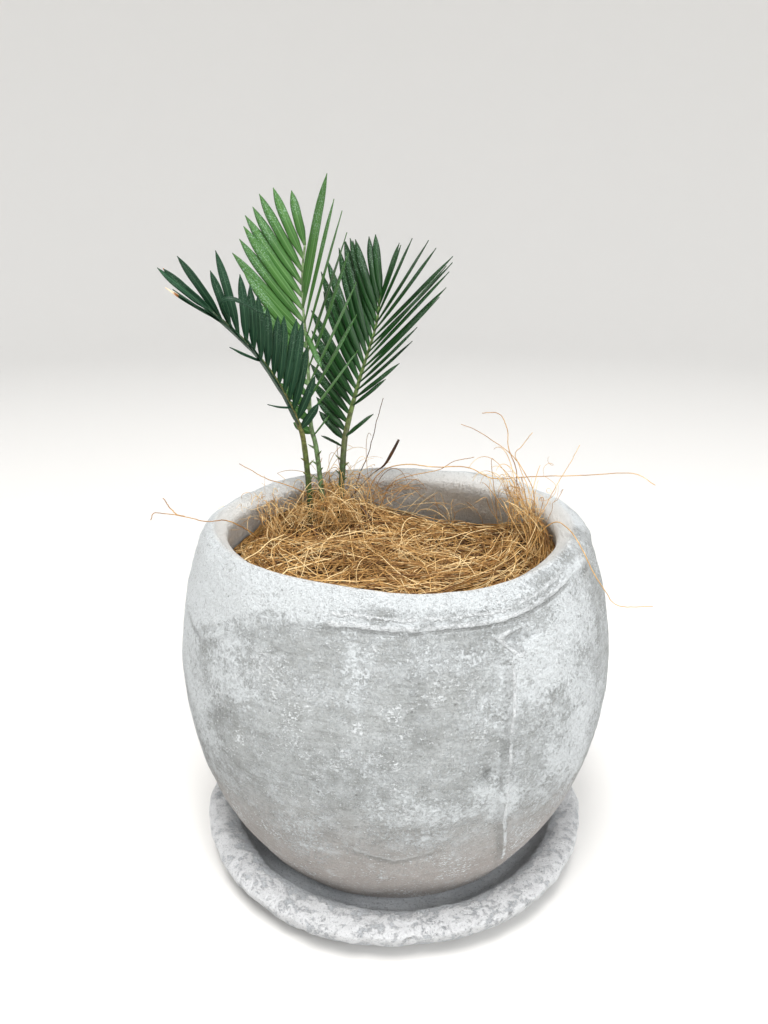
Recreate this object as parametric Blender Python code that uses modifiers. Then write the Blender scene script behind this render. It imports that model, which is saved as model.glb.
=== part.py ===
"""Potted sago palm: a young plant with three fronds in a hand-finished cement pot on its saucer.

Metres, +Z up. The origin is the middle of the saucer's underside, X runs to the right and Y away from the
side that the pot is seen from.
"""

import math
import random

import bmesh
import bpy
from mathutils import Vector, noise

MM = 0.001
GAP = 0.3 * MM
MERGE = 0.0001
WELD = 0.000001

# Saucer: radii and heights
SAUCER_FOOT_R = 60 * MM
SAUCER_RIM_R = 69.2 * MM
SAUCER_RIM_INNER_R = 58 * MM
SAUCER_FLOOR_R = 54.5 * MM
SAUCER_RIM_ARCH = 2.6 * MM
SAUCER_RIM_STEPS = 10
SAUCER_SIDE_MM = [(68.6, 8.5), (65.2, 3.5)]
SAUCER_H = 13.3 * MM
SAUCER_FLOOR_Z = 7 * MM
SAUCER_STEPS = 40

# Pot: outer wall from the foot to the crest of the lip, then the inner wall down to the floor
POT_FOOT_Z = SAUCER_FLOOR_Z + GAP
POT_FLOOR_Z = 17 * MM
POT_TOP_Z = 123 * MM
POT_FOOT_R = 49 * MM
DRAIN_R = 5 * MM
POT_OUTER_MM = [
    (51.0, 9.0), (54.7, 14.3), (64.2, 30.6), (71.2, 52.3),
    (73.7, 74.1), (71.2, 95.8), (66.9, 112.1), (63.2, 120.2),
]
POT_CREST_MM = (58.6, 123.0)
POT_INNER_MM = [(54.2, 119.5), (55.8, 111.0), (60.2, 96.0), (63.4, 74.0), (61.0, 52.0), (54.0, 31.0)]
POT_FLOOR_EDGE_MM = [(44.0, 20.0), (39.0, 17.0)]
POT_STEPS = 42

# Hand finish: the mouth sits a little off the axis, the lip waves and the wall swells unevenly
MOUTH_SHIFT = Vector((-1.3 * MM, -3.6 * MM, 0))
MOUTH_SHIFT_FROM_Z = 72 * MM
LIP_FROM_Z = 108 * MM
WALL_MIDDLE_R = 68.4 * MM
WALL_MIDDLE_FALL = 0.17
WALL_HALF = 4 * MM
LIP_WAVES = [(2, 0.5, 0.7 * MM), (3, 2.1, 0.5 * MM), (5, 4.0, 0.35 * MM)]
SWELL = 0.008
SWELL_SCALE = 26.0

# Soil, with the bulb of the plant half sunk in it
SOIL_TOP_Z = 96 * MM
SOIL_CLEARANCE = 0.45 * MM
BULB_CENTRE = Vector((-26.3 * MM, 27.3 * MM, 0))
BULB_MM = [
    (6.0, 101.2), (9.2, 97.5), (11.0, 91.0), (10.3, 83.0),
    (7.0, 73.5), (4.4, 63.0), (2.8, 52.0), (1.4, 43.0),
]
BULB_TOP_Z = 102 * MM
BULB_TIP_Z = 41 * MM
BULB_STEPS = 20

# Coir mat: base level, and the rises and hollows in it as (x, y, spread x, spread y, height) in mm
COIR_LEVEL = 107.5 * MM
COIR_RISES_MM = [(-25, 42, 20, 12, 6.0), (-27, 23, 9, 9, 1.8), (50, 10, 9, 15, 5.0), (20, 52, 20, 14, -6.5)]
COIR_EDGE_R = 54.2 * MM
COIR_UNDER_R = 57.0 * MM
COIR_UNDER_Z = 101 * MM
COIR_EDGE_DROP = 2.5 * MM
COIR_EDGE_WIDTH = 8 * MM
COIR_RINGS = 9
COIR_STEPS = 40
COIR_LUMPS = 1.0 * MM
COIR_LUMP_SCALE = 130

# Coir strands
STRAND_R = 0.36 * MM
STRAND_COUNT = 37
STRAND_STEPS = 6
STRAND_STEP_MM = (6.0, 9.5)
STRAND_LIFT_MM = (0.6, 2.6)
STRAND_CURL = 0.4
STRAND_SINK = 1.4 * MM
STRAND_RIPPLE = 0.5 * MM
STRAND_SIDES = 4
STRAND_SEED = 11
STEM_CLEAR = 11.5 * MM

# Loose strands that stand out of the mat, as routes of (x, y, z) in mm
LOOSE_STRANDS_MM = {
    "left": [
        (-42, 2, 107), (-47, -4, 116), (-51, -10, 122), (-54.5, -15, 125.7), (-60, -18, 126.3),
        (-68, -13, 126.4), (-78, -10, 126.5), (-80, -10, 124),
    ],
    "left_fork": [(-68, -13, 126.4), (-72, -11.5, 127), (-75.3, -10, 131.5)],
    "back_left": [
        (-28, 38, 110), (-33, 30, 120), (-40, 29, 124), (-47, 30, 126), (-53, 35, 127), (-60, 40, 129),
    ],
    "upright": [(-16, 42, 109), (-15, 44, 121), (-11, 46, 131), (-8, 47, 142), (-5, 48, 153)],
    "husk": [(-19, 38, 108), (-14, 39, 119), (-9, 39, 126), (-5, 39, 130), (-1, 39, 136)],
    "long_right": [
        (-12, 43, 107), (-10, 43, 119), (-5, 42, 126), (4, 40, 129), (14, 36, 129),
        (26, 32, 130), (36, 28, 127), (50, 24, 129), (69, 20, 131), (83, 16, 133), (90, 12, 130),
    ],
    "second": [(-8, 46, 106), (-2, 42, 120), (6, 39, 125), (16, 37, 128), (22, 35, 132), (29, 33, 134)],
    "clump_a": [
        (49, 14, 107), (49, 15, 125), (45, 16, 134), (42, 17, 138), (37, 19, 142), (28, 22, 147),
        (23, 24, 148.5),
    ],
    "clump_b": [
        (44, 19, 107), (44, 20, 122), (43, 20, 133), (40, 20, 141), (39, 21, 148), (36, 21, 153),
        (30, 22, 153),
    ],
    "clump_c": [(47, 10, 107), (47, 12, 125), (43, 13, 136), (41, 12, 141), (43, 11, 144), (46, 10, 149)],
    "clump_d": [(46, 5, 107), (49, 7, 118), (54, 10, 127.5), (59, 10, 137), (62, 9, 145)],
    "over_lip": [
        (43, -5, 107), (47, -9, 119), (51, -13, 124.7), (53.5, -19, 125.4), (56, -28, 122.8),
        (60, -31, 115.5), (64.5, -31, 109), (70, -26, 102), (83, -20, 99),
    ],
}

# Fronds: path of the stalk in mm, the way its upper side looks at the foot and at the tip, and its two rows
# of leaflets. Each value along a row is given at some shares of its length and blended between them. A lone
# leaflet is (side, share of the stalk, length, angle, keel, roll, width, bend).
STALK_R = 1.2 * MM
STALK_TIP_R = 0.5 * MM
STALK_SIDES = 8
STALK_STEPS = 22
ROW_STEPS = 60
BLADE_THICK = 0.9 * MM
BLADE_THINS_BY = 0.45
BLADE_ROOT_W = 1.5 * MM
BLADE_TIP_W = 0.35 * MM
BLADE_SHARES = (0, 0.3, 0.7, 1)
BLADE_TAPER_FROM = 0.66
SPINE_ROOT_W = 1.1 * MM
SPINE_TIP_W = 0.4 * MM
SPINE_LENGTHS_MM = (1.4, 1.7, 2.1)
SPINE_SPAN = (0.24, 0.40)
FRONDS = {
    "frond_left": {
        "path": [(-31.5, 27, 97), (-31.5, 27, 110), (-33, 26, 138), (-35, 24, 149), (-42.3, 19, 166.6),
                 (-51.3, 14.5, 179.5), (-59.8, 11, 188.4)],
        "faces": ((0.67, -0.7, 0.3), (0.45, -0.7, 0.55)),
        "rows": [
            {"side": 1, "count": 15, "span": (0.49, 1.0),
             "length": [(0, 12), (0.1, 21), (0.2, 31), (0.3, 26), (0.45, 20), (0.7, 22), (0.79, 27),
                        (0.86, 19), (0.93, 24), (1, 20)],
             "angle": [(0, 56), (0.1, 41), (0.3, 37), (0.7, 42), (0.79, 32), (0.86, 32), (0.93, 20), (1, -3)],
             "keel": [(0, 45), (1, 45)], "roll": [(0, -14), (1, -10)],
             "width": [(0, 2.8), (0.2, 3.2), (1, 2.8)], "bend": 0.06},
            {"side": -1, "count": 12, "span": (0.5, 1.0),
             "length": [(0, 12), (0.2, 22), (0.8, 24), (1, 21)],
             "angle": [(0, 18), (0.7, 13), (0.9, 20), (1, 5)],
             "keel": [(0, 40), (0.7, 30), (1, 5)], "roll": [(0, 42), (0.8, 36), (1, 8)],
             "width": [(0, 2.6), (0.2, 3.0), (1, 2.8)], "bend": 0.05},
        ],
        "lone": [(-1, 0.58, 29, 63, 40, 60, 2.4, 0.03), (-1, 0.77, 25, 52, 40, 20, 2.4, 0.03)],
    },
    "frond_centre": {
        "path": [(-26.5, 27, 97), (-26.5, 27, 110), (-29, 28, 137.5), (-31, 29, 147), (-31.5, 31, 163),
                 (-32, 32.5, 176), (-33, 34, 188.5), (-33, 36, 200.5), (-32, 37, 208.5)],
        "faces": ((-0.5, -0.85, 0.1), (-0.5, -0.85, 0.1)),
        "rows": [
            {"side": 1, "count": 9, "span": (0.48, 0.86),
             "length": [(0, 31), (0.12, 36), (0.4, 45), (0.7, 46), (1, 40)],
             "angle": [(0, 47), (0.15, 37), (0.4, 31), (0.7, 34), (1, 28)],
             "keel": [(0, 0), (0.4, 5), (0.7, 20), (1, 30)],
             "roll": [(0, -45), (0.4, -32), (0.75, -14), (0.87, 20), (1, 28)],
             "width": [(0, 2.6), (0.75, 2.6), (0.87, 3.2), (1, 3.2)], "bend": 0.04},
            {"side": -1, "count": 16, "span": (0.42, 1.0),
             "length": [(0, 8), (0.25, 20), (0.45, 33), (0.53, 38), (0.6, 36), (0.73, 34), (0.87, 29),
                        (0.93, 26), (1, 19)],
             "angle": [(0, 50), (0.4, 44), (0.53, 40), (0.6, 34), (0.67, 37), (0.87, 37), (0.93, 34), (1, 25)],
             "keel": [(0, 30), (1, 30)], "roll": [(0, 6), (1, 6)],
             "width": [(0, 3.0), (0.4, 3.7), (0.8, 3.6), (1, 3.2)], "bend": 0.05},
        ],
        "lone": [(1, 0.41, 11, 62, 0, -60, 1.8, 0.05), (1, 0.74, 15, 150, 20, -45, 2.0, 0)],
    },
    "frond_right": {
        "path": [(-20.8, 28, 97), (-21, 28.5, 110), (-19.5, 33, 136), (-18, 36, 145.5), (-13.5, 40, 162),
                 (-8, 43, 179), (-6.4, 44, 188), (-5.7, 44.5, 191)],
        "faces": ((-0.25, -0.95, 0.2), (-0.35, -0.9, 0.2)),
        "rows": [
            {"side": 1, "count": 15, "span": (0.58, 0.99),
             "length": [(0, 20), (0.1, 28), (0.22, 37), (0.3, 46), (0.6, 47), (0.8, 36), (0.92, 24), (1, 21)],
             "angle": [(0, 58), (0.2, 53), (0.3, 45), (0.6, 44), (0.8, 38), (0.9, 28), (1, 9)],
             "keel": [(0, 34), (1, 34)], "roll": [(0, -16), (1, -8)],
             "width": [(0, 2.4), (1, 2.5)], "bend": 0.05},
            {"side": -1, "count": 18, "span": (0.45, 1.0),
             "length": [(0, 15), (0.1, 20), (0.35, 34), (0.5, 41), (0.65, 38), (1, 22)],
             "angle": [(0, 56), (0.1, 60), (0.35, 48), (0.5, 39), (0.75, 34), (1, 22)],
             "keel": [(0, 0), (0.5, 10), (1, 20)], "roll": [(0, 14), (1, 12)],
             "width": [(0, 2.9), (0.3, 3.5), (0.8, 3.2), (1, 2.9)], "bend": 0.05},
        ],
        "lone": [(1, 0.46, 17, 64, 34, -14, 2.8, 0.04), (-1, 0.42, 10, 70, 0, -60, 2.2, 0)],
    },
}

# Colours as linear red, green, blue, with roughness
CEMENT = ((0.60, 0.60, 0.58), 0.9)
SAUCER_CEMENT = ((0.55, 0.57, 0.58), 0.9)
SOIL = ((0.045, 0.028, 0.018), 1.0)
BULB = ((0.16, 0.09, 0.045), 0.85)
COIR = ((0.50, 0.27, 0.09), 0.8)
LEAF_DARK = ((0.018, 0.085, 0.035), 0.35)
LEAF_LIGHT = ((0.06, 0.20, 0.06), 0.4)
FROND_COLOURS = {"frond_left": LEAF_DARK, "frond_centre": LEAF_LIGHT, "frond_right": LEAF_DARK}


def clear_scene():
    for ob in list(bpy.data.objects):
        bpy.data.objects.remove(ob, do_unlink=True)


def new_collection(name):
    collection = bpy.data.collections.new(name)
    bpy.context.scene.collection.children.link(collection)
    return collection


def new_material(name, look):
    colour, roughness = look
    material = bpy.data.materials.new(name)
    material.use_nodes = True
    shader = material.node_tree.nodes["Principled BSDF"]
    shader.inputs["Base Color"].default_value = (*colour, 1.0)
    shader.inputs["Roughness"].default_value = roughness
    shader.inputs["Metallic"].default_value = 0.0
    return material


def finish_part(ob, look):
    """Gives a finished part its own material and smooth shading with sharp edges kept."""
    ob.data.materials.clear()
    ob.data.materials.append(new_material(ob.name + "_material", look))
    ob.data.shade_smooth()
    ob.data.set_sharp_from_angle(angle=math.radians(40))


def smooth_step(low, high, value):
    share = min(1.0, max(0.0, (value - low) / (high - low)))
    return share * share * (3 - 2 * share)


def blend(pairs, share):
    """The value at a share of the way, between pairs of (share, value)."""
    for (s0, v0), (s1, v1) in zip(pairs, pairs[1:]):
        if share <= s1:
            return v0 + (v1 - v0) * max(0.0, share - s0) / (s1 - s0)
    return pairs[-1][1]


def smooth_line(points, per_span):
    """Points on a smooth curve through the given ones, with per_span steps between each two."""
    points = [Vector(p) for p in points]
    ends = [2 * points[0] - points[1]] + points + [2 * points[-1] - points[-2]]
    line = []
    for a, b, c, d in zip(ends, ends[1:], ends[2:], ends[3:]):
        for step in range(per_span):
            t = step / per_span
            square = (2 * a - 5 * b + 4 * c - d) * t**2
            cube = (3 * b - a - 3 * c + d) * t**3
            line.append(0.5 * (2 * b + (c - a) * t + square + cube))
    line.append(points[-1])
    return line


def even_line(points, count):
    """The points of a fine line, taken again at equal distances."""
    reach = [0.0]
    for a, b in zip(points, points[1:]):
        reach.append(reach[-1] + (b - a).length)
    line = []
    span = 0
    for step in range(count + 1):
        target = reach[-1] * step / count
        while span < len(points) - 2 and reach[span + 1] < target:
            span += 1
        share = (target - reach[span]) / (reach[span + 1] - reach[span])
        line.append(points[span].lerp(points[span + 1], share))
    return line


def in_metres(points):
    return [Vector(p) * MM for p in points]


def as_mesh(ob, collection):
    """Replaces an object by a plain mesh of what it evaluates to, with its seams welded."""
    bpy.context.view_layer.update()
    mesh = bpy.data.meshes.new_from_object(ob.evaluated_get(bpy.context.evaluated_depsgraph_get()))
    work = bmesh.new()
    work.from_mesh(mesh)
    bmesh.ops.remove_doubles(work, verts=work.verts, dist=WELD)
    work.to_mesh(mesh)
    work.free()
    name, place = ob.name, ob.matrix_world.copy()
    bpy.data.objects.remove(ob, do_unlink=True)
    made = bpy.data.objects.new(name, mesh)
    made.matrix_world = place
    collection.objects.link(made)
    return made


def turned(name, profile, steps, collection):
    """A solid of revolution from a profile of (radius, height) that runs down its outer side."""
    mesh = bpy.data.meshes.new(name)
    mesh.from_pydata([(r, 0, z) for r, z in profile], [(i, i + 1) for i in range(len(profile) - 1)], [])
    if profile[0][0] > MERGE:
        mesh.clear_geometry()
        count = len(profile)
        mesh.from_pydata([(r, 0, z) for r, z in profile], [(i, (i + 1) % count) for i in range(count)], [])
    ob = bpy.data.objects.new(name, mesh)
    collection.objects.link(ob)
    screw = ob.modifiers.new("Turn", "SCREW")
    screw.steps = steps
    screw.render_steps = steps
    screw.use_merge_vertices = True
    screw.merge_threshold = MERGE
    return ob


def tube(name, points, radii, sides, collection):
    """A round stem or strand along points, as a closed mesh."""
    curve = bpy.data.curves.new(name, "CURVE")
    curve.dimensions = "3D"
    curve.bevel_depth = 1.0
    curve.bevel_resolution = (sides - 4) // 2
    curve.use_fill_caps = True
    spline = curve.splines.new("POLY")
    spline.points.add(len(points) - 1)
    for spot, place, radius in zip(spline.points, points, radii):
        spot.co = (*place, 1)
        spot.radius = radius
    ob = bpy.data.objects.new(name, curve)
    collection.objects.link(ob)
    return as_mesh(ob, collection)


def unite(base, repeats, solver="EXACT"):
    """Joins every object of a collection to a base by one Boolean, and removes the collection."""
    boolean = base.modifiers.new("Unite", "BOOLEAN")
    boolean.operation = "UNION"
    boolean.operand_type = "COLLECTION"
    boolean.collection = repeats
    boolean.solver = solver
    home = base.users_collection[0]
    joined = as_mesh(base, home)
    for ob in list(repeats.objects):
        bpy.data.objects.remove(ob, do_unlink=True)
    bpy.data.collections.remove(repeats)
    return joined


def cut(base, cutter, solver="EXACT"):
    """Cuts the cutter out of the base, and removes the cutter."""
    boolean = base.modifiers.new("Cut", "BOOLEAN")
    boolean.operation = "DIFFERENCE"
    boolean.object = cutter
    boolean.solver = solver
    result = as_mesh(base, base.users_collection[0])
    bpy.data.objects.remove(cutter, do_unlink=True)
    return result


def keep_largest(ob):
    """Drops every loose scrap and sealed pocket beside the largest connected skin of a mesh."""
    work = bmesh.new()
    work.from_mesh(ob.data)
    left = set(work.faces)
    groups = []
    while left:
        front = [left.pop()]
        group = set(front)
        while front:
            for edge in front.pop().edges:
                for face in edge.link_faces:
                    if face in left:
                        left.discard(face)
                        group.add(face)
                        front.append(face)
        groups.append(group)
    largest = max(groups, key=len)
    loose = [face for group in groups if group is not largest for face in group]
    bmesh.ops.delete(work, geom=loose, context="FACES")
    work.to_mesh(ob.data)
    work.free()


def hand_shaped(place):
    """A point of the turned pot moved to where the hand-finished one has it."""
    radius = math.hypot(place.x, place.y)
    turn = math.atan2(place.y, place.x)
    middle = WALL_MIDDLE_R - (place.z - MOUTH_SHIFT_FROM_Z) * WALL_MIDDLE_FALL
    inside = smooth_step(middle + WALL_HALF, middle - WALL_HALF, radius)
    rise = smooth_step(MOUTH_SHIFT_FROM_Z, POT_TOP_Z, place.z)
    lip = smooth_step(LIP_FROM_Z, POT_TOP_Z, place.z) * smooth_step(45 * MM, 52 * MM, radius)
    swell = 1 + SWELL * noise.noise(place * SWELL_SCALE) * smooth_step(20 * MM, 50 * MM, radius)
    wave = sum(size * math.sin(count * turn + start) for count, start, size in LIP_WAVES)
    moved = Vector((place.x * swell, place.y * swell, place.z + wave * lip))
    return moved + MOUTH_SHIFT * (rise * inside)


def shape_by_hand(ob):
    for vert in ob.data.vertices:
        vert.co = hand_shaped(vert.co)


def make_saucer(collection):
    rim_mid = (SAUCER_RIM_R + SAUCER_RIM_INNER_R) / 2
    rim_half = (SAUCER_RIM_R - SAUCER_RIM_INNER_R) / 2
    profile = [(0, SAUCER_FLOOR_Z), (SAUCER_FLOOR_R, SAUCER_FLOOR_Z)]
    for step in range(1, SAUCER_RIM_STEPS):
        turn = math.pi * (1 - step / SAUCER_RIM_STEPS)
        rise = SAUCER_RIM_ARCH * (math.sin(turn) - 1)
        profile.append((rim_mid + rim_half * math.cos(turn), SAUCER_H + rise))
    profile += [(r * MM, z * MM) for r, z in SAUCER_SIDE_MM]
    profile += [(SAUCER_FOOT_R, 0), (0, 0)]
    saucer = as_mesh(turned("saucer", profile, SAUCER_STEPS, collection), collection)
    for vert in saucer.data.vertices:
        outward = smooth_step(SAUCER_FOOT_R, SAUCER_RIM_R, math.hypot(vert.co.x, vert.co.y))
        swell = 1 + SWELL * noise.noise(vert.co * SWELL_SCALE) * outward
        vert.co.x *= swell
        vert.co.y *= swell
    finish_part(saucer, SAUCER_CEMENT)


def inner_wall():
    """The inside of the pot from the lip down to the edge of its floor."""
    line = [(r * MM, z * MM) for r, z in POT_INNER_MM]
    return line + [(r * MM, z * MM) for r, z in POT_FLOOR_EDGE_MM]


def make_pot(collection):
    outer = smooth_line([(r, 0, z) for r, z in POT_OUTER_MM + [POT_CREST_MM]], 2)
    profile = [(p.x * MM, p.z * MM) for p in reversed(outer)]
    profile += [(POT_FOOT_R, POT_FOOT_Z), (DRAIN_R, POT_FOOT_Z), (DRAIN_R, POT_FLOOR_Z)]
    profile += reversed(inner_wall())
    pot = as_mesh(turned("pot", profile, POT_STEPS, collection), collection)
    shape_by_hand(pot)
    finish_part(pot, CEMENT)


def make_bulb(name, extra, collection):
    """The swollen foot of the plant and its tap root, larger all round by extra."""
    profile = [(0, BULB_TOP_Z + extra)]
    profile += [(r * MM + extra, z * MM) for r, z in BULB_MM]
    profile += [(0, BULB_TIP_Z - extra)]
    bulb = as_mesh(turned(name, profile, BULB_STEPS, collection), collection)
    for vert in bulb.data.vertices:
        vert.co += BULB_CENTRE
    return bulb


def make_soil(collection):
    line = [(r - SOIL_CLEARANCE, z) for r, z in inner_wall()]
    side = [(r, z) for r, z in line if POT_FLOOR_Z + MM < z < SOIL_TOP_Z - MM]
    top_r = next(r for r, z in line if z <= SOIL_TOP_Z + MM)
    floor_r = line[-1][0]
    profile = [(0, SOIL_TOP_Z), (top_r - GAP, SOIL_TOP_Z)] + side
    profile += [(floor_r, POT_FLOOR_Z + GAP), (0, POT_FLOOR_Z + GAP)]
    soil = as_mesh(turned("soil", profile, POT_STEPS, collection), collection)
    shape_by_hand(soil)
    soil = cut(soil, make_bulb("bulb_hole", GAP, collection))
    finish_part(soil, SOIL)


def coir_height(x, y):
    """The level of the coir mat at a place, all in metres."""
    level = COIR_LEVEL
    for cx, cy, wide, deep, height in COIR_RISES_MM:
        away = ((x / MM - cx) / wide) ** 2 + ((y / MM - cy) / deep) ** 2
        level += height * MM * math.exp(-away / 2)
    return level + COIR_LUMPS * noise.noise(Vector((x, y, 0)) * COIR_LUMP_SCALE)


def make_coir_core(collection):
    """A thick mat with an uneven top, flat where it lies on the soil."""
    profile = [(0, COIR_LEVEL)]
    profile += [(COIR_EDGE_R * ring / COIR_RINGS, COIR_LEVEL) for ring in range(1, COIR_RINGS + 1)]
    profile += [(COIR_UNDER_R, COIR_UNDER_Z), (COIR_UNDER_R - GAP, SOIL_TOP_Z + GAP), (0, SOIL_TOP_Z + GAP)]
    core = as_mesh(turned("coir_mat", profile, COIR_STEPS, collection), collection)
    for vert in core.data.vertices:
        if vert.co.z > COIR_LEVEL - MM:
            radius = math.hypot(vert.co.x, vert.co.y)
            edge = smooth_step(COIR_EDGE_R - COIR_EDGE_WIDTH, COIR_EDGE_R, radius)
            vert.co.z = coir_height(vert.co.x, vert.co.y) - COIR_EDGE_DROP * edge
    shape_by_hand(core)
    return core


def strand_route(draw):
    """A curved strand that lies on the mat, comes out of it and sinks in again."""
    reach = COIR_EDGE_R - 1.5 * MM
    turn = draw.uniform(0, 2 * math.pi)
    start = reach * math.sqrt(draw.random())
    place = Vector((start * math.cos(turn), start * math.sin(turn), 0))
    heading = draw.uniform(0, 2 * math.pi)
    curl = draw.uniform(-STRAND_CURL, STRAND_CURL)
    step = draw.uniform(*STRAND_STEP_MM) * MM
    lift = draw.uniform(*STRAND_LIFT_MM) * MM
    flat = []
    for _ in range(STRAND_STEPS + 1):
        if place.length > reach:
            place = place.normalized() * reach
            along = Vector((-place.y, place.x, 0))
            way = 1 if along.dot(Vector((math.cos(heading), math.sin(heading), 0))) > 0 else -1
            heading = math.atan2(way * along.y, way * along.x)
        flat.append(place.copy())
        place = place + Vector((math.cos(heading), math.sin(heading), 0)) * step
        heading += curl + draw.uniform(-0.12, 0.12)
    route = []
    for number, spot in enumerate(flat):
        arch = math.sin(math.pi * number / STRAND_STEPS)
        sink = STRAND_SINK * (1 - arch) ** 2
        ripple = STRAND_RIPPLE * math.sin(number * 1.7 + turn)
        height = coir_height(spot.x, spot.y) + lift * arch + ripple * arch - sink
        route.append(hand_shaped(Vector((spot.x, spot.y, height))))
    return route


def clear_of_stems(route):
    foot = Vector((BULB_CENTRE.x, BULB_CENTRE.y))
    return all((Vector((p.x, p.y)) - foot).length > STEM_CLEAR for p in route)


def make_coir(collection):
    """The mat with the strands that make its surface and those that stand out of it, as one body."""
    core = make_coir_core(collection)
    strands = new_collection("coir_strands")
    draw = random.Random(STRAND_SEED)
    routes = []
    while len(routes) < STRAND_COUNT:
        route = strand_route(draw)
        if clear_of_stems(route):
            routes.append(route)
    for points in LOOSE_STRANDS_MM.values():
        routes.append(even_line(smooth_line(in_metres(points), 4), 3 * len(points) // 2))
    for number, route in enumerate(routes):
        tube(f"strand_{number}", route, [STRAND_R] * len(route), STRAND_SIDES, strands)
    coir = unite(core, strands, "MANIFOLD")
    coir = cut(coir, make_bulb("bulb_hollow", GAP, collection))
    for name in FRONDS:
        coir = cut(coir, make_stalk(name + "_hole", FRONDS[name], 1.5 * GAP, collection))
    keep_largest(coir)
    finish_part(coir, COIR)


def stalk_line(frond, count):
    return even_line(smooth_line(in_metres(frond["path"]), 6), count)


def make_stalk(name, frond, extra, collection):
    """The stalk of a frond, from the bulb to its tip, larger all round by extra."""
    line = stalk_line(frond, STALK_STEPS)
    if extra:
        line[0] = line[0] - Vector((0, 0, extra))
    thin = [smooth_step(0.3, 1.0, step / STALK_STEPS) for step in range(STALK_STEPS + 1)]
    radii = [extra + STALK_R + (STALK_TIP_R - STALK_R) * share for share in thin]
    return tube(name, line, radii, STALK_SIDES, collection)


def blade(name, centres, across, normals, widths, collection):
    """A leaflet with a rib along its middle on both sides. Both faces are split into triangles alike."""
    work = bmesh.new()
    rings = []
    last = len(centres) - 1
    for number, centre in enumerate(centres):
        thick = BLADE_THICK * (1 - BLADE_THINS_BY * number / last) / 2
        side = across[number] * (widths[number] / 2)
        up = normals[number] * thick
        rings.append([work.verts.new(p) for p in (centre - side, centre + up, centre + side, centre - up)])
    for a, b in zip(rings, rings[1:]):
        for left, right, slant in ((0, 1, 0), (1, 2, 1), (2, 3, 0), (3, 0, 1)):
            quad = [a[left], a[right], b[right], b[left]]
            first, second = ((0, 1, 2), (0, 2, 3)) if slant == 0 else ((0, 1, 3), (1, 2, 3))
            work.faces.new([quad[i] for i in first])
            work.faces.new([quad[i] for i in second])
    work.faces.new([rings[0][i] for i in (3, 2, 1, 0)])
    work.faces.new(rings[-1])
    bmesh.ops.recalc_face_normals(work, faces=work.faces)
    mesh = bpy.data.meshes.new(name)
    work.to_mesh(mesh)
    work.free()
    collection.objects.link(bpy.data.objects.new(name, mesh))


def stalk_frame(line, faces, share):
    """The place on a stalk at a share of its length, with its run, its upper side and its right side."""
    spot = share * (len(line) - 1)
    index = min(int(spot), len(line) - 2)
    place = line[index].lerp(line[index + 1], spot - index)
    run = (line[index + 1] - line[index]).normalized()
    upper = Vector(faces[0]).lerp(Vector(faces[1]), share)
    upper = (upper - run * upper.dot(run)).normalized()
    return place, run, upper, run.cross(upper)


def blade_shape(share):
    """The width of a leaflet along it, as a share of its full width."""
    past = max(0.0, (share - BLADE_TAPER_FROM) / (1 - BLADE_TAPER_FROM))
    return min(1.0, 0.42 + 3.6 * share) * max(0.0, 1 - past * past) ** 0.9


def leaflets_of(frond, draw):
    """Side, share of the stalk, length, angle, keel, roll, width and bend of each leaflet of a frond."""
    found = []
    for row in frond["rows"]:
        first, last = row["span"]
        for number in range(row["count"]):
            share = number / (row["count"] - 1)
            angle = blend(row["angle"], share) + draw.uniform(-2, 2)
            keel = blend(row["keel"], share) + draw.uniform(-3, 3)
            length = blend(row["length"], share) * draw.uniform(0.96, 1.03)
            found.append((row["side"], first + (last - first) * share, length, angle, keel,
                          blend(row["roll"], share), blend(row["width"], share), row["bend"]))
    return found + frond["lone"]


def make_leaflet(name, frond, line, values, collection):
    side, share, length, angle, keel, roll, width, bend = values
    place, run, upper, right = stalk_frame(line, frond["faces"], share)
    angle, keel, roll = math.radians(angle), math.radians(keel), math.radians(roll)
    outward = right * (side * math.cos(keel)) + upper * math.sin(keel)
    ahead = run * math.cos(angle) + outward * math.sin(angle)
    across = outward * math.cos(angle) - run * math.sin(angle)
    normal = ahead.cross(across)
    across, normal = (across * math.cos(roll) + normal * math.sin(roll),
                      normal * math.cos(roll) - across * math.sin(roll))
    toward = (run - ahead * run.dot(ahead)).normalized()
    centres = []
    widths = []
    for along in BLADE_SHARES:
        centres.append(place + (ahead * along + toward * (bend * along**2)) * (length * MM))
        widths.append(max(BLADE_TIP_W, BLADE_ROOT_W if along == 0 else width * MM * blade_shape(along)))
    count = len(centres)
    blade(name, centres, [across] * count, [normal] * count, widths, collection)


def make_spine(name, frond, line, share, side, length, collection):
    """A short spine low on the stalk, where a leaflet did not open."""
    place, run, upper, right = stalk_frame(line, frond["faces"], share)
    ahead = (right * side + run * 0.5 + upper * 0.3).normalized()
    across = ahead.cross(upper).normalized()
    centres = [place, place + ahead * (STALK_R + length)]
    blade(name, centres, [across] * 2, [ahead.cross(across)] * 2, [SPINE_ROOT_W, SPINE_TIP_W], collection)


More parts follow.
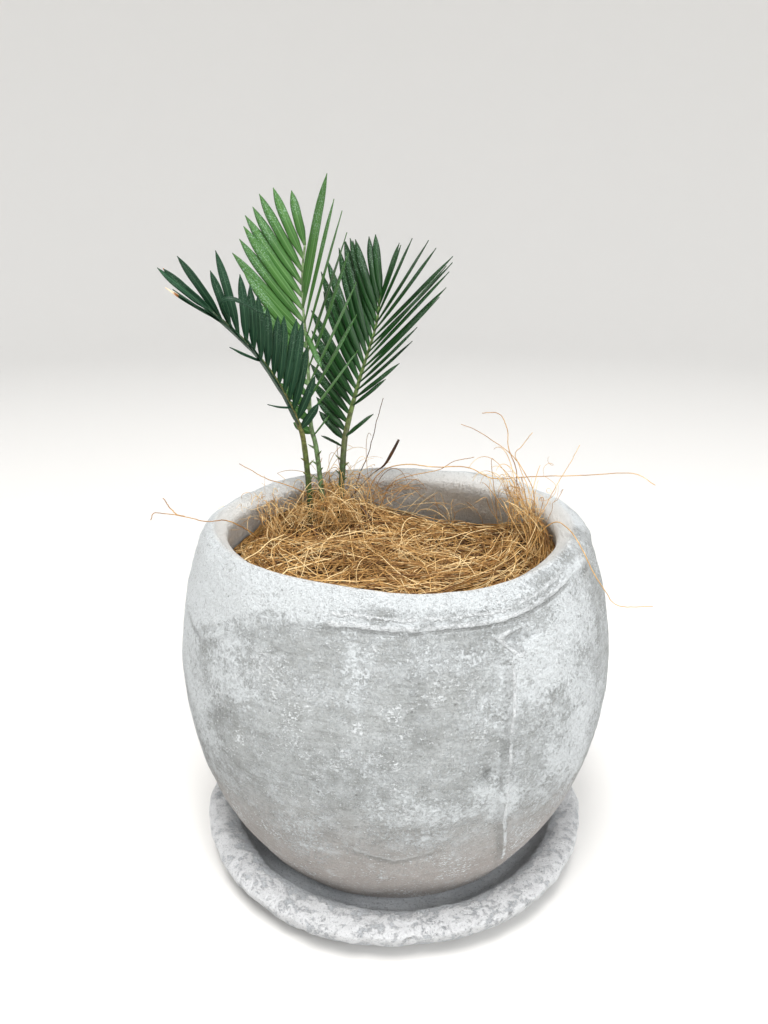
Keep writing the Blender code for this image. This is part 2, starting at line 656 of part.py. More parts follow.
def make_frond(name, frond, seed, collection):
    """One frond: its stalk with both rows of leaflets and the spines, joined in one body."""
    draw = random.Random(seed)
    stalk = make_stalk(name, frond, 0, collection)
    line = stalk_line(frond, ROW_STEPS)
    leaflets = new_collection(name + "_leaflets")
    for number, values in enumerate(leaflets_of(frond, draw)):
        make_leaflet(f"leaflet_{number}", frond, line, values, leaflets)
    for side, row in enumerate(frond["rows"]):
        for number, length in enumerate(SPINE_LENGTHS_MM):
            reach = (number + 0.4 * side) / len(SPINE_LENGTHS_MM)
            share = SPINE_SPAN[0] + (SPINE_SPAN[1] - SPINE_SPAN[0]) * reach
            make_spine(f"spine_{side}_{number}", frond, line, share, row["side"], length * MM, leaflets)
    whole = unite(stalk, leaflets, "MANIFOLD")
    keep_largest(whole)
    finish_part(whole, FROND_COLOURS[name])


def make_caudex(collection):
    """The bulb that the fronds grow from, with a plain hole for the foot of each stalk."""
    bulb = make_bulb("caudex", 0, collection)
    for name, frond in FRONDS.items():
        bulb = cut(bulb, make_stalk(name + "_socket", frond, GAP, collection))
    keep_largest(bulb)
    finish_part(bulb, BULB)


def main():
    clear_scene()
    parts = new_collection("potted_sago_palm")
    make_saucer(parts)
    make_pot(parts)
    make_soil(parts)
    make_caudex(parts)
    make_coir(parts)
    for seed, (name, frond) in enumerate(FRONDS.items()):
        make_frond(name, frond, seed + 3, parts)


main()
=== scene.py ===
"""Looks of a potted sago palm: cement pot and saucer, coir mulch and three fronds.

Metres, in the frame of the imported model: +Z up, the origin under the middle of the saucer, and the side
that the pot is seen from looks along -Y.
"""

import math
import random

import bpy
import numpy as np
from mathutils import Matrix, Vector, noise


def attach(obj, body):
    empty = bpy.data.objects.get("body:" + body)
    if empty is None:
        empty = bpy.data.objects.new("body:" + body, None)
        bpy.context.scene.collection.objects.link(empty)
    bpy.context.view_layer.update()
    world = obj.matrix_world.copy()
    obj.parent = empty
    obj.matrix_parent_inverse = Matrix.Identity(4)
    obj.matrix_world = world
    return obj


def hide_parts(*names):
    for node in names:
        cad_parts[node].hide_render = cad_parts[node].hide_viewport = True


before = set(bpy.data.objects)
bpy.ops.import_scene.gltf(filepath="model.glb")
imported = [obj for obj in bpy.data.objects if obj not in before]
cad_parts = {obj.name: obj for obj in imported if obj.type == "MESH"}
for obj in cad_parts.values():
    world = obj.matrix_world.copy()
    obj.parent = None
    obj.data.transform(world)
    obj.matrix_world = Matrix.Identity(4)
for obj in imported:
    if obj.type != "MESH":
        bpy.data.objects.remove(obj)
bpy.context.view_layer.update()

MM = 0.001

# Camera: place, tilt and focal length in pixels of a frame 1024 pixels tall
CAMERA_PLACE = Vector((0, -254.5, 213.0)) * MM
CAMERA_PITCH = math.radians(19.32)
CAMERA_YAW = math.radians(-0.89)
CAMERA_ROLL = math.radians(0.05)
CAMERA_FOCAL_PX = 800
CAMERA_LONG_PX = 1024
SENSOR_MM = 36

# Pot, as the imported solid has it
POT_FOOT_Z = 7.3 * MM
POT_FLOOR_Z = 17 * MM
POT_TOP_Z = 123 * MM
POT_FOOT_R = 49 * MM
DRAIN_R = 5 * MM
POT_OUTER_MM = [
    (51.0, 9.0), (54.7, 14.3), (64.2, 30.6), (71.2, 52.3),
    (73.7, 74.1), (71.2, 95.8), (66.9, 112.1), (63.2, 120.2),
]
POT_CREST_MM = (58.6, 123.0)
POT_INNER_MM = [(54.2, 119.5), (55.8, 111.0), (60.2, 96.0), (63.4, 74.0), (61.0, 52.0), (54.0, 31.0)]
POT_FLOOR_EDGE_MM = [(44.0, 20.0), (39.0, 17.0)]
POT_STEPS = 480
POT_OUTER_SPLITS = 17
POT_INNER_SPLITS = 6

# Hand finish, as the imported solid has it
MOUTH_SHIFT = Vector((-1.3 * MM, -3.6 * MM, 0))
MOUTH_SHIFT_FROM_Z = 72 * MM
LIP_FROM_Z = 108 * MM
WALL_MIDDLE_R = 68.4 * MM
WALL_MIDDLE_FALL = 0.17
WALL_HALF = 4 * MM
LIP_WAVES = [(2, 0.5, 0.7 * MM), (3, 2.1, 0.5 * MM), (5, 4.0, 0.35 * MM)]
SWELL = 0.008
SWELL_SCALE = 26.0

# Marks in the wall of the pot, by angle round it in degrees and height in mm. Patches of chalk and shade are
# (angle, height, half width, half height, amount).
MM_PER_DEGREE = 1.2
FAR_MM = 30.0
LIP_EDGE_MM = [(-180, 104), (-143.5, 97.6), (-130, 106.5), (-112.8, 113.6), (-100.4, 114.4), (-86.6, 114),
               (-77.2, 114.6), (-64.5, 114.4), (-55.2, 115.6), (-37.1, 118.1), (30, 116), (90, 114),
               (140, 112), (180, 104)]
SEAM = [(27, -57.2), (50, -62.8), (67, -64), (80, -63.7), (92, -62.8), (104, -62.5)]
CREASE = [(-101, 42.5), (-89.7, 38.1), (-78.6, 42.9)]
CREASE_MIDDLE, CREASE_HALF = -90, 10
LIP_EDGE_DRAWN = (-106, -38)
DENT_DRAWN_TO = -58.5
DENT_MM = [(-64.6, 109.3), (-58.6, 110.8), (-53.0, 108.2), (-60.4, 104.6)]
PIT_ANGLE, PIT_MM = -69.4, 70.6
CRUMBS = [(-122.7, 101), (-117, 93), (-89.9, 91.8), (-97.6, 87.3), (-87.5, 86.5), (-100, 78.3),
          (-106.7, 70.9), (-89.8, 76.6), (-90.3, 69.7), (-114.4, 87.5), (-135.8, 86.4), (-127, 75.1),
          (-102.9, 75.1), (-94.1, 79), (-108.4, 60.3), (-88, 58.5), (-80, 57), (-73, 96.5), (-140, 72)]
CHALK = [(-158, 84, 18, 34, 0.55), (-138, 104, 12, 9, 0.45), (-130, 118, 16, 5, 0.25),
         (-110, 117, 8, 4, 0.30), (-60, 100, 12, 14, 0.20), (-42, 84, 15, 34, 0.50),
         (-66, 68, 5, 20, 0.22), (-98, 103, 4, 6, 0.30), (-86, 66, 7, 7, 0.18),
         (-118, 66, 9, 5, 0.16), (-78, 104, 8, 5, 0.22), (-126, 92, 8, 9, 0.20), (60, 84, 26, 24, 0.35),
         (130, 70, 22, 26, 0.3), (-36, 112, 16, 10, 0.35), (-112, 97, 5, 5, 0.22), (-72, 90, 5, 8, 0.25)]
SHADES = [(-134, 79, 6, 9, 0.55), (-81, 88, 6, 5, 0.30), (-87, 101, 7, 4, 0.30), (-126, 113, 4, 2.5, 0.4),
          (-112, 99, 3, 2.5, 0.45), (-94, 117, 10, 2.2, 0.5), (-96, 70, 9, 6, 0.25), (-74, 78, 4, 6, 0.25),
          (-55, 60, 8, 7, 0.25), (-108, 84, 8, 6, 0.22), (-58, 116, 6, 2, 0.5)]

# Saucer
SAUCER_FOOT_R = 60 * MM
SAUCER_RIM_R = 69.2 * MM
SAUCER_RIM_INNER_R = 58 * MM
SAUCER_FLOOR_R = 54.5 * MM
SAUCER_H = 13.3 * MM
SAUCER_FLOOR_Z = 7 * MM
SAUCER_RIM_ARCH = 2.6 * MM
SAUCER_STEPS = 480
SAUCER_RIM_STEPS = 36

# Coir mat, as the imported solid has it
COIR_LEVEL = 107.5 * MM
COIR_RISES_MM = [(-25, 42, 20, 12, 6.0), (-27, 23, 9, 9, -1.0), (50, 10, 9, 15, 5.0), (20, 52, 20, 14, -6.5),
                 (51, -10, 5, 8, -4.0), (-4, -6, 9, 7, 1.2), (18, 4, 10, 8, -2.0)]
COIR_REACH = 55.6 * MM
COIR_LUMPS = 1.0 * MM
COIR_LUMP_SCALE = 130
COIR_EDGE_DROP = 2.5 * MM
COIR_EDGE_WIDTH = 8 * MM
COIR_BED_Z = 97 * MM
COIR_SEED = 17

# Fibres that run in the surface of the mat, from the deepest to the top ones: name, then count, points,
# length, depth and lift in mm, then radius in mm and tone. The tone rises from the deep batch to the top one:
# partly the fibres' own spread of colour, partly painted shade in the depth and painted light on top.
MAT_BATCHES = [
    ("coir_deep", (1000, 14, (26, 60), (1.8, 3.8), (0.0, 1.2)), (0.16, 0.28), (-0.2, 0.15)),
    ("coir_middle", (1250, 19, (30, 80), (0.3, 2.2), (0.3, 2.6)), (0.12, 0.23), (0.05, 0.56)),
    ("coir_top", (950, 24, (34, 105), (-0.8, 0.9), (0.5, 5.0)), (0.12, 0.22), (0.42, 1.12)),
]

# Bundles of fibres that sweep through the mat side by side: count, spread, and their route as X, Y and rise
SWEEPS_MM = [
    (85, (4.0, 1.2), [(-53, 14, 0), (-50, -14, 0), (-34, -38, 0), (-8, -50, 0.4), (18, -46, 0.8),
                      (38, -30, 1.2), (49, -10, 3), (51, 4, 5), (47, 18, 9)]),
    (60, (5.0, 1.6), [(-50, 20, 0), (-42, -10, 0.5), (-22, -30, 1), (4, -38, 1), (26, -26, 1.5),
                      (42, -8, 2.5), (50, 8, 5), (42, 22, 9)]),
    (45, (5.0, 1.2), [(-44, -8, 0), (-24, -18, 1), (0, -20, 1.5), (22, -16, 1), (38, -2, 2), (46, 12, 6)]),
    (60, (4.0, 1.4), [(-40, -20, 0), (-50, 2, 0.5), (-49, 24, 1), (-38, 40, 1.5), (-20, 47, 1), (-2, 46, 0)]),
    (40, (4.5, 1.4), [(-34, -6, 0), (-43, 10, 1), (-42, 28, 1.5), (-28, 40, 1.5), (-8, 40, 1), (6, 30, 0)]),
    (40, (5.0, 1.0), [(-30, 8, 0), (-14, 6, 1), (4, 8, 1), (14, 20, 1), (10, 36, 0), (-6, 42, 0)]),
    (30, (5.0, 1.0), [(-20, 0, 0.5), (4, -10, 1.5), (30, -4, 1), (44, 14, 2), (40, 30, 0)]),
]

# Fibres that arch out of the mat: count, middle and spread of the start, middle and spread of the end, rise.
# Curls of the fluff: count, middle, spread, shortest and longest.
ARCHES_MM = [
    (70, (-28, 34, 110), (12, 8, 0.5), (-29, 37, 117), (15, 9, 5), (4, 15)),
    (32, (-22, 38, 111), (12, 7, 0.5), (-16, 42, 126), (13, 8, 8), (5, 18)),
    (14, (-12, 40, 110), (8, 6, 0.5), (10, 44, 118), (12, 6, 6), (3, 14)),
    (60, (-30, 21, 109), (12, 4, 0.5), (-24, 22, 115), (14, 4, 4), (5, 17)),
    (20, (-16, 24, 109), (5, 5, 0.5), (-22, 26, 122), (9, 5, 6), (5, 15)),
    (30, (48, 4, 109), (4, 10, 0.5), (43, 15, 125), (9, 8, 7), (5, 18)),
    (16, (42, 12, 110), (5, 8, 0.5), (34, 20, 130), (8, 8, 9), (6, 18)),
    (16, (14, 44, 104), (18, 5, 0.5), (16, 47, 112), (16, 4, 4), (2, 9)),
    (26, (-42, 14, 109), (5, 16, 0.5), (-47, 18, 117), (5, 14, 3), (2, 8)),
    (14, (-44, 20, 110), (5, 12, 0.5), (-50, 22, 117), (6, 14, 3), (4, 12)),
    (90, (-5, -4, 108), (34, 28, 0.5), (0, -4, 109), (34, 30, 1), (2, 10)),
]
FLUFF_MM = [(120, (-24, 34, 115), (15, 9, 5), 6, 17), (70, (-25, 22, 114), (13, 4, 5), 6, 16),
            (60, (47, 11, 122), (6, 9, 7), 6, 17), (36, (-50, 16, 119), (6, 16, 3), 5, 12)]

# Thick dark pieces of husk: route in mm and half width along it
HUSK_POINTS = 24
HUSKS_MM = [
    ([(-22, 36, 110), (-16, 38, 118), (-9, 39, 125.5), (-4.5, 39, 129), (-1.5, 39, 134), (1, 39, 139)],
     [0.15, 0.15, 0.15, 0.17, 0.6, 0.45]),
    ([(-17, 21, 107.8), (-12, 14, 108.6), (-7, 7, 108.2)], [0.3, 0.9, 0.35]),
    ([(-14, 33, 116), (-12, 30, 113.5), (-9, 27, 111.5)], [0.3, 0.7, 0.3]),
    ([(-31, 20, 111.5), (-29.5, 18, 109.5), (-28, 17, 107)], [0.4, 1.0, 0.5]),
]

# Loose fibres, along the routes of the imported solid
LOOSE_STRANDS_MM = {
    "left": [(-42, 2, 107), (-47, -4, 116), (-51, -10, 122), (-54.5, -15, 125.7), (-60, -18, 126.3),
             (-68, -13, 126.4), (-78, -10, 126.5), (-80, -10, 124)],
    "left_fork": [(-68, -13, 126.4), (-72, -11.5, 127), (-75.3, -10, 131.5)],
    "back_left": [(-28, 38, 110), (-33, 30, 120), (-40, 29, 124), (-47, 30, 126), (-53, 35, 127),
                  (-60, 40, 129)],
    "upright": [(-16, 42, 109), (-15, 44, 121), (-11, 46, 131), (-8, 47, 142), (-5, 48, 153)],
    "long_right": [(-12, 43, 107), (-10, 43, 119), (-5, 42, 126), (4, 40, 129), (14, 36, 129),
                   (26, 32, 130), (36, 28, 127), (50, 24, 129), (69, 20, 131), (83, 16, 133), (90, 12, 130)],
    "second": [(-8, 46, 106), (-2, 42, 120), (6, 39, 125), (16, 37, 128), (22, 35, 132), (29, 33, 134)],
    "clump_a": [(49, 14, 107), (49, 15, 125), (45, 16, 134), (42, 17, 138), (37, 19, 142), (28, 22, 147),
                (23, 24, 148.5)],
    "clump_b": [(44, 19, 107), (44, 20, 122), (43, 20, 133), (40, 20, 141), (39, 21, 148), (36, 21, 153),
                (30, 22, 153)],
    "clump_c": [(47, 10, 107), (47, 12, 125), (43, 13, 136), (41, 12, 141), (43, 11, 144), (46, 10, 149)],
    "clump_d": [(46, 5, 107), (49, 7, 118), (54, 10, 127.5), (59, 10, 137), (62, 9, 145)],
    "over_lip": [(43, -5, 107), (47, -9, 119), (51, -13, 124.7), (53.5, -19, 125.4), (56, -28, 122.8),
                 (60, -31, 115.5), (64.5, -31, 109), (70, -26, 102), (83, -20, 99)],
}
LOOSE_POINTS = 70
LOOSE_RADIUS_MM = (0.17, 0.23)
DARK_STRANDS = ("upright",)

# Fronds: path of the stalk in mm, the way its upper side looks at the foot and at the tip, and its two rows
# of leaflets. Each value along a row is given at some shares of its length and blended between them. A lone
# leaflet is (side, share of the stalk, length, angle, keel, roll, width, bend).
STALK_R = 1.2 * MM
BLADE_TIP_W = 0.3 * MM
BLADE_TAPER_FROM = 0.66
SPINE_LENGTHS_MM = (1.4, 1.7, 2.1)
SPINE_SPAN = (0.24, 0.40)
SPINE_RINGS = 5
SPINE_SIDES = 6
FRONDS = {
    "frond_left": {
        "path": [(-31.5, 27, 97), (-31.5, 27, 110), (-33, 26, 138), (-35, 24, 149), (-42.3, 19, 166.6),
                 (-51.3, 14.5, 179.5), (-59.8, 11, 188.4)],
        "faces": ((0.67, -0.7, 0.3), (0.45, -0.7, 0.55)),
        "rows": [
            {"side": 1, "count": 15, "span": (0.49, 1.0),
             "length": [(0, 12), (0.1, 21), (0.2, 31), (0.3, 26), (0.45, 20), (0.7, 22), (0.79, 27),
                        (0.86, 19), (0.93, 24), (1, 20)],
             "angle": [(0, 56), (0.1, 41), (0.3, 37), (0.7, 42), (0.79, 32), (0.86, 32), (0.93, 20), (1, -3)],
             "keel": [(0, 45), (1, 45)], "roll": [(0, -14), (1, -10)],
             "width": [(0, 2.8), (0.2, 3.2), (1, 2.8)], "bend": 0.06},
            {"side": -1, "count": 12, "span": (0.5, 1.0),
             "length": [(0, 12), (0.2, 22), (0.8, 24), (1, 21)],
             "angle": [(0, 18), (0.7, 13), (0.9, 20), (1, 5)],
             "keel": [(0, 40), (0.7, 30), (1, 5)], "roll": [(0, 42), (0.8, 36), (1, 8)],
             "width": [(0, 2.6), (0.2, 3.0), (1, 2.8)], "bend": 0.05},
        ],
        "lone": [(-1, 0.58, 29, 63, 40, 60, 2.4, 0.03), (-1, 0.77, 25, 52, 40, 20, 2.4, 0.03)],
    },
    "frond_centre": {
        "path": [(-26.5, 27, 97), (-26.5, 27, 110), (-29, 28, 137.5), (-31, 29, 147), (-31.5, 31, 163),
                 (-32, 32.5, 176), (-33, 34, 188.5), (-33, 36, 200.5), (-32, 37, 208.5)],
        "faces": ((-0.5, -0.85, 0.1), (-0.5, -0.85, 0.1)),
        "rows": [
            {"side": 1, "count": 9, "span": (0.48, 0.86),
             "length": [(0, 31), (0.12, 36), (0.4, 45), (0.7, 46), (1, 40)],
             "angle": [(0, 47), (0.15, 37), (0.4, 31), (0.7, 34), (1, 28)],
             "keel": [(0, 0), (0.4, 5), (0.7, 20), (1, 30)],
             "roll": [(0, -45), (0.4, -32), (0.75, -14), (0.87, 20), (1, 28)],
             "width": [(0, 2.6), (0.75, 2.6), (0.87, 3.2), (1, 3.2)], "bend": 0.04},
            {"side": -1, "count": 16, "span": (0.42, 1.0),
             "length": [(0, 8), (0.25, 20), (0.45, 33), (0.53, 38), (0.6, 36), (0.73, 34), (0.87, 29),
                        (0.93, 26), (1, 19)],
             "angle": [(0, 50), (0.4, 44), (0.53, 40), (0.6, 34), (0.67, 37), (0.87, 37), (0.93, 34),
                       (1, 25)],
             "keel": [(0, 30), (1, 30)], "roll": [(0, 6), (1, 6)],
             "width": [(0, 3.0), (0.4, 3.7), (0.8, 3.6), (1, 3.2)], "bend": 0.05},
        ],
        "lone": [(1, 0.41, 11, 62, 0, -60, 1.8, 0.05), (1, 0.74, 15, 150, 20, -45, 2.0, 0)],
    },
    "frond_right": {
        "path": [(-20.8, 28, 97), (-21, 28.5, 110), (-19.5, 33, 136), (-18, 36, 145.5), (-13.5, 40, 162),
                 (-8, 43, 179), (-6.4, 44, 188), (-5.7, 44.5, 191)],
        "faces": ((-0.25, -0.95, 0.2), (-0.35, -0.9, 0.2)),
        "rows": [
            {"side": 1, "count": 15, "span": (0.58, 0.99),
             "length": [(0, 20), (0.1, 28), (0.22, 37), (0.3, 46), (0.6, 47), (0.8, 36), (0.92, 24), (1, 21)],
             "angle": [(0, 58), (0.2, 53), (0.3, 45), (0.6, 44), (0.8, 38), (0.9, 28), (1, 9)],
             "keel": [(0, 34), (1, 34)], "roll": [(0, -16), (1, -8)],
             "width": [(0, 2.4), (1, 2.5)], "bend": 0.05},
            {"side": -1, "count": 18, "span": (0.45, 1.0),
             "length": [(0, 15), (0.1, 20), (0.35, 34), (0.5, 41), (0.65, 38), (1, 22)],
             "angle": [(0, 56), (0.1, 60), (0.35, 48), (0.5, 39), (0.75, 34), (1, 22)],
             "keel": [(0, 0), (0.5, 10), (1, 20)], "roll": [(0, 14), (1, 12)],
             "width": [(0, 2.9), (0.3, 3.5), (0.8, 3.2), (1, 2.9)], "bend": 0.05},
        ],
        "lone": [(1, 0.46, 17, 64, 34, -14, 2.8, 0.04), (-1, 0.42, 10, 70, 0, -60, 2.2, 0)],
    },
}
FROND_SEED = 3
SHADE_SEED = 50
LEAFLET_STEPS = 16
LEAFLET_SPLITS = 6
LEAFLET_THICK = 0.42 * MM
LEAFLET_ARCH = 0.10
LEAFLET_CROWD = 1.35
STALK_STEPS = 110
STALK_SIDES = 14
CURLED_MM = [(-54.0, 12, 183.1), (-55.3, 10, 187.2), (-56.3, 7.5, 190.5), (-55.3, 5.5, 192.2),
             (-53.3, 5, 193), (-50.6, 5.5, 192.5), (-47.4, 7, 190.6), (-44.4, 9, 188.7), (-41.2, 11, 186.8)]
CURLED_WIDTH = [(0, 0.9), (0.3, 1.5), (0.5, 1.6), (0.75, 1.1), (1, 0.3)]
FROND_LOOKS = {
    "frond_left": {
        "slot": "leaf_dark_blue", "radius_mm": (1.05, 0.42), "foot_swell": 0.35,
        "dark": (0.004, 0.025, 0.011), "light": (0.018, 0.068, 0.032), "rib": (0.075, 0.165, 0.085),
        "rib_share": 0.45, "rough": 0.46, "painted_sheen": 0.15, "dry": {14: 0.32, 25: 1.0},
        "stalk": [(0.0, (0.05, 0.05, 0.025)), (0.2, (0.03, 0.075, 0.025)), (0.36, (0.10, 0.16, 0.04)),
                  (0.52, (0.22, 0.21, 0.06)), (0.8, (0.12, 0.16, 0.05)), (1.0, (0.05, 0.10, 0.05))],
    },
    "frond_centre": {
        "slot": "leaf_light", "radius_mm": (0.9, 0.38), "foot_swell": 1.1,
        "dark": (0.022, 0.086, 0.013), "light": (0.068, 0.180, 0.038), "rib": (0.24, 0.38, 0.16),
        "rib_share": 0.30, "rough": 0.38, "painted_sheen": 0.60, "dry": {},
        "stalk": [(0.0, (0.30, 0.24, 0.15)), (0.16, (0.26, 0.24, 0.13)), (0.24, (0.13, 0.21, 0.09)),
                  (0.4, (0.14, 0.24, 0.09)), (0.62, (0.24, 0.37, 0.16)), (1.0, (0.24, 0.36, 0.16))],
    },
    "frond_right": {
        "slot": "leaf_dark", "radius_mm": (1.15, 0.42), "foot_swell": 0.3,
        "dark": (0.002, 0.020, 0.003), "light": (0.010, 0.055, 0.009), "rib": (0.05, 0.155, 0.038),
        "rib_share": 0.32, "rough": 0.30, "painted_sheen": 0.38, "dry": {},
        "stalk": [(0.0, (0.035, 0.022, 0.012)), (0.2, (0.03, 0.035, 0.014)), (0.34, (0.035, 0.085, 0.022)),
                  (0.46, (0.13, 0.15, 0.045)), (0.6, (0.15, 0.23, 0.06)), (1.0, (0.16, 0.26, 0.08))],
    },
}

# Colours as linear red, green, blue
CEMENT_DARK = (0.365, 0.38, 0.375)
CEMENT_LIGHT = (0.51, 0.53, 0.525)
CEMENT_PALE = (0.70, 0.735, 0.745)
CEMENT_CHALK = (0.86, 0.905, 0.925)
CEMENT_CRUMB = (0.92, 0.955, 0.97)
CEMENT_WARM = (0.53, 0.465, 0.43)
# Dark grey: for darker brushed streaks, and for painted shade in hollows, cuts, grain and under the lip.
CEMENT_SHADE = (0.21, 0.215, 0.21)
# Pale grey that paints light onto the inner wall, which the lamps reach too little.
CEMENT_INSIDE_PAINTED_LIGHT = (0.82, 0.80, 0.76)
# Near black: painted shade in the small pits.
CEMENT_HOLLOW_SHADE = (0.20, 0.20, 0.195)
SAUCER_DARK = (0.61, 0.64, 0.67)
SAUCER_LIGHT = (0.79, 0.825, 0.855)
SAUCER_CHALK = (0.95, 0.965, 0.98)
SAUCER_GRAIN = (0.20, 0.215, 0.23)
# Pale specks of painted sheen on the leaflets.
LEAF_PAINTED_SHEEN = (0.32, 0.47, 0.36)
LEAF_SCORCHED = (0.42, 0.17, 0.05)
LEAF_DRY = (0.85, 0.66, 0.45)
STALK_STAIN = (0.034, 0.032, 0.012)
SOIL_DARK = (0.02, 0.012, 0.008)
SOIL_LIGHT = (0.075, 0.048, 0.03)
BULB_LIGHT = (0.20, 0.12, 0.06)
BULB_DARK = (0.05, 0.028, 0.014)
STAGE_COLOUR = (0.78, 0.77, 0.75)
# The darkest stops serve the bed and the deep fibres, partly as painted shade.
COIR_COLOURS = [(0.0, (0.022, 0.008, 0.003)), (0.3, (0.11, 0.044, 0.010)), (0.6, (0.36, 0.180, 0.048)),
                (0.85, (0.66, 0.40, 0.14)), (1.0, (0.92, 0.70, 0.37))]

# Pale stage round the part, and the place that the lamps face
STAGE_FLAT_R = 1.3
STAGE_BEND_R = 0.9
STAGE_TOP_Z = 2.6
STAGE_STEPS = 96
LIT_PLACE = Vector((0, 0, 0.1))


class Value:
    """What a material works out at each place: a number, a colour or a direction."""

    def __init__(self, look, socket):
        self.look = look
        self.socket = socket

    def __add__(self, other):
        return self.look.math("ADD", self, other)

    def __sub__(self, other):
        return self.look.math("SUBTRACT", self, other)

    def __mul__(self, other):
        return self.look.math("MULTIPLY", self, other)

    def __abs__(self):
        return self.look.math("ABSOLUTE", self, 0.0)

    def ramp(self, low, high, to_low=0.0, to_high=1.0):
        """A smooth change from one number to another while the value goes from low to high."""
        node = self.look.new("MapRange")
        node.interpolation_type = "SMOOTHSTEP"
        given = {"Value": self, "From Min": low, "From Max": high, "To Min": to_low, "To Max": to_high}
        return self.look.wired(node, "Result", given)


class Look:
    """The nodes of one material, built step by step. Sizes of patterns are in mm."""

    def __init__(self, name, roughness):
        self.material = bpy.data.materials.new(name)
        self.material.use_nodes = True
        self.tree = self.material.node_tree
        self.shader = self.tree.nodes["Principled BSDF"]
        self.shader.inputs["Roughness"].default_value = roughness
        self.place = self.wired(self.new("TexCoord"), "Object", {})

    def new(self, kind):
        return self.tree.nodes.new("ShaderNode" + kind)

    def feed(self, socket, value):
        if isinstance(value, Value):
            self.tree.links.new(value.socket, socket)
        elif socket.type == "RGBA":
            socket.default_value = (*value, 1.0)
        else:
            socket.default_value = value

    def wired(self, node, output, given):
        """One output of a node whose inputs are given."""
        for name, value in given.items():
            self.feed(node.inputs[name], value)
        return Value(self, node.outputs[output])

    def math(self, operation, a, b, clamp=False):
        node = self.new("Math")
        node.operation = operation
        node.use_clamp = clamp
        return self.wired(node, 0, {0: a, 1: b})

    def scaled(self, size_mm, flat):
        """The place in units of a pattern's size, whose marks are flat times as wide as tall."""
        wide = 1 / (size_mm * MM * flat)
        given = {"Vector": self.place, "Scale": (wide, wide, 1 / (size_mm * MM))}
        return self.wired(self.new("Mapping"), 0, given)

    def clouds(self, place, detail, rough):
        given = {"Vector": place, "Scale": 1.0, "Detail": detail, "Roughness": rough}
        return self.wired(self.new("TexNoise"), "Fac", given)

    def noise(self, size_mm, detail=4.0, rough=0.5, flat=1.0):
        return self.clouds(self.scaled(size_mm, flat), detail, rough)

    def cells(self, size_mm, flat=1.0):
        """The distance to the nearest of scattered spots, in units of the size."""
        given = {"Vector": self.scaled(size_mm, flat), "Scale": 1.0}
        return self.wired(self.new("TexVoronoi"), "Distance", given)

    def layered(self, colour, *layers):
        """A colour with others laid over it, each by a share."""
        for share, over in layers:
            node = self.new("Mix")
            node.data_type = "RGBA"
            colour = self.wired(node, 2, {0: share, 6: colour, 7: over})
        return colour

    def colours(self, value, stops):
        """Colours blended between stops along a value."""
        node = self.new("ValToRGB")
        elements = node.color_ramp.elements
        while len(elements) < len(stops):
            elements.new(0.5)
        for element, (spot, colour) in zip(elements, stops):
            element.position = spot
            element.color = (*colour, 1.0)
        return self.wired(node, "Color", {"Fac": value})

    def attribute(self, name):
        node = self.new("Attribute")
        node.attribute_name = name
        return self.wired(node, "Fac", {})

    def finish(self, colour, relief=None, depth_mm=0.0):
        """The material with its colour, and with a relief that shades it as if it were so deep."""
        self.feed(self.shader.inputs["Base Color"], colour)
        if relief is not None:
            given = {"Strength": 1.0, "Distance": depth_mm * MM, "Height": relief}
            self.feed(self.shader.inputs["Normal"], self.wired(self.new("Bump"), "Normal", given))
        return self.material


def most(first, *others):
    """The largest of some values at each place."""
    for other in others:
        first = first.look.math("MAXIMUM", first, other)
    return first


def smooth_step(low, high, value):
    share = min(1.0, max(0.0, (value - low) / (high - low)))
    return share * share * (3 - 2 * share)


def blend(pairs, share):
    """The value at a share of the way, between pairs of (share, value)."""
    for (s0, v0), (s1, v1) in zip(pairs, pairs[1:]):
        if share <= s1:
            return v0 + (v1 - v0) * max(0.0, share - s0) / (s1 - s0)
    return pairs[-1][1]


def smooth_line(points, per_span):
    """Points on a smooth curve through the given ones, with per_span steps between each two."""
    points = [Vector(p) for p in points]
    ends = [2 * points[0] - points[1]] + points + [2 * points[-1] - points[-2]]
    line = []
    for a, b, c, d in zip(ends, ends[1:], ends[2:], ends[3:]):
        for step in range(per_span):
            t = step / per_span
            square = (2 * a - 5 * b + 4 * c - d) * t**2
            cube = (3 * b - a - 3 * c + d) * t**3
            line.append(0.5 * (2 * b + (c - a) * t + square + cube))
    line.append(points[-1])
    return line


def even_line(points, count):
    """The points of a fine line, taken again at equal distances."""
    reach = [0.0]
    for a, b in zip(points, points[1:]):
        reach.append(reach[-1] + (b - a).length)
    line = []
    span = 0
    for step in range(count + 1):
        target = reach[-1] * step / count
        while span < len(points) - 2 and reach[span + 1] < target:
            span += 1
        share = (target - reach[span]) / (reach[span + 1] - reach[span])
        line.append(points[span].lerp(points[span + 1], share))
    return line


def in_metres(points):
    return [Vector(p) * MM for p in points]


def as_array(points):
    return np.array([tuple(p) for p in points])


def bell(away):
    """From 1 at 0 down to 0 on both sides."""
    return math.exp(-away * away)


def rough(place, scale, shift=(0, 0, 0), tall=1):
    """Noise between -1 and 1 at a place, scale times a metre across and tall times as fine upward."""
    return noise.noise(Vector((place.x * scale, place.y * scale, place.z * scale * tall)) + Vector(shift))


def new_piece(name, points, faces, look, slot, replaced=(), values=None):
    """A smooth mesh that rides on the part, with numbers at its points for the material."""
    mesh = bpy.data.meshes.new(name)
    mesh.from_pydata(np.asarray(points).tolist(), [], faces)
    for label, numbers in (values or {}).items():
        spread = mesh.attributes.new(label, "FLOAT", "POINT")
        spread.data.foreach_set("value", np.asarray(numbers, np.float32).ravel())
    mesh.materials.append(look)
    mesh.shade_smooth()
    piece = bpy.data.objects.new(name, mesh)
    bpy.context.scene.collection.objects.link(piece)
    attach(piece, "root")
    if replaced:
        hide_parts(*replaced)
    return piece


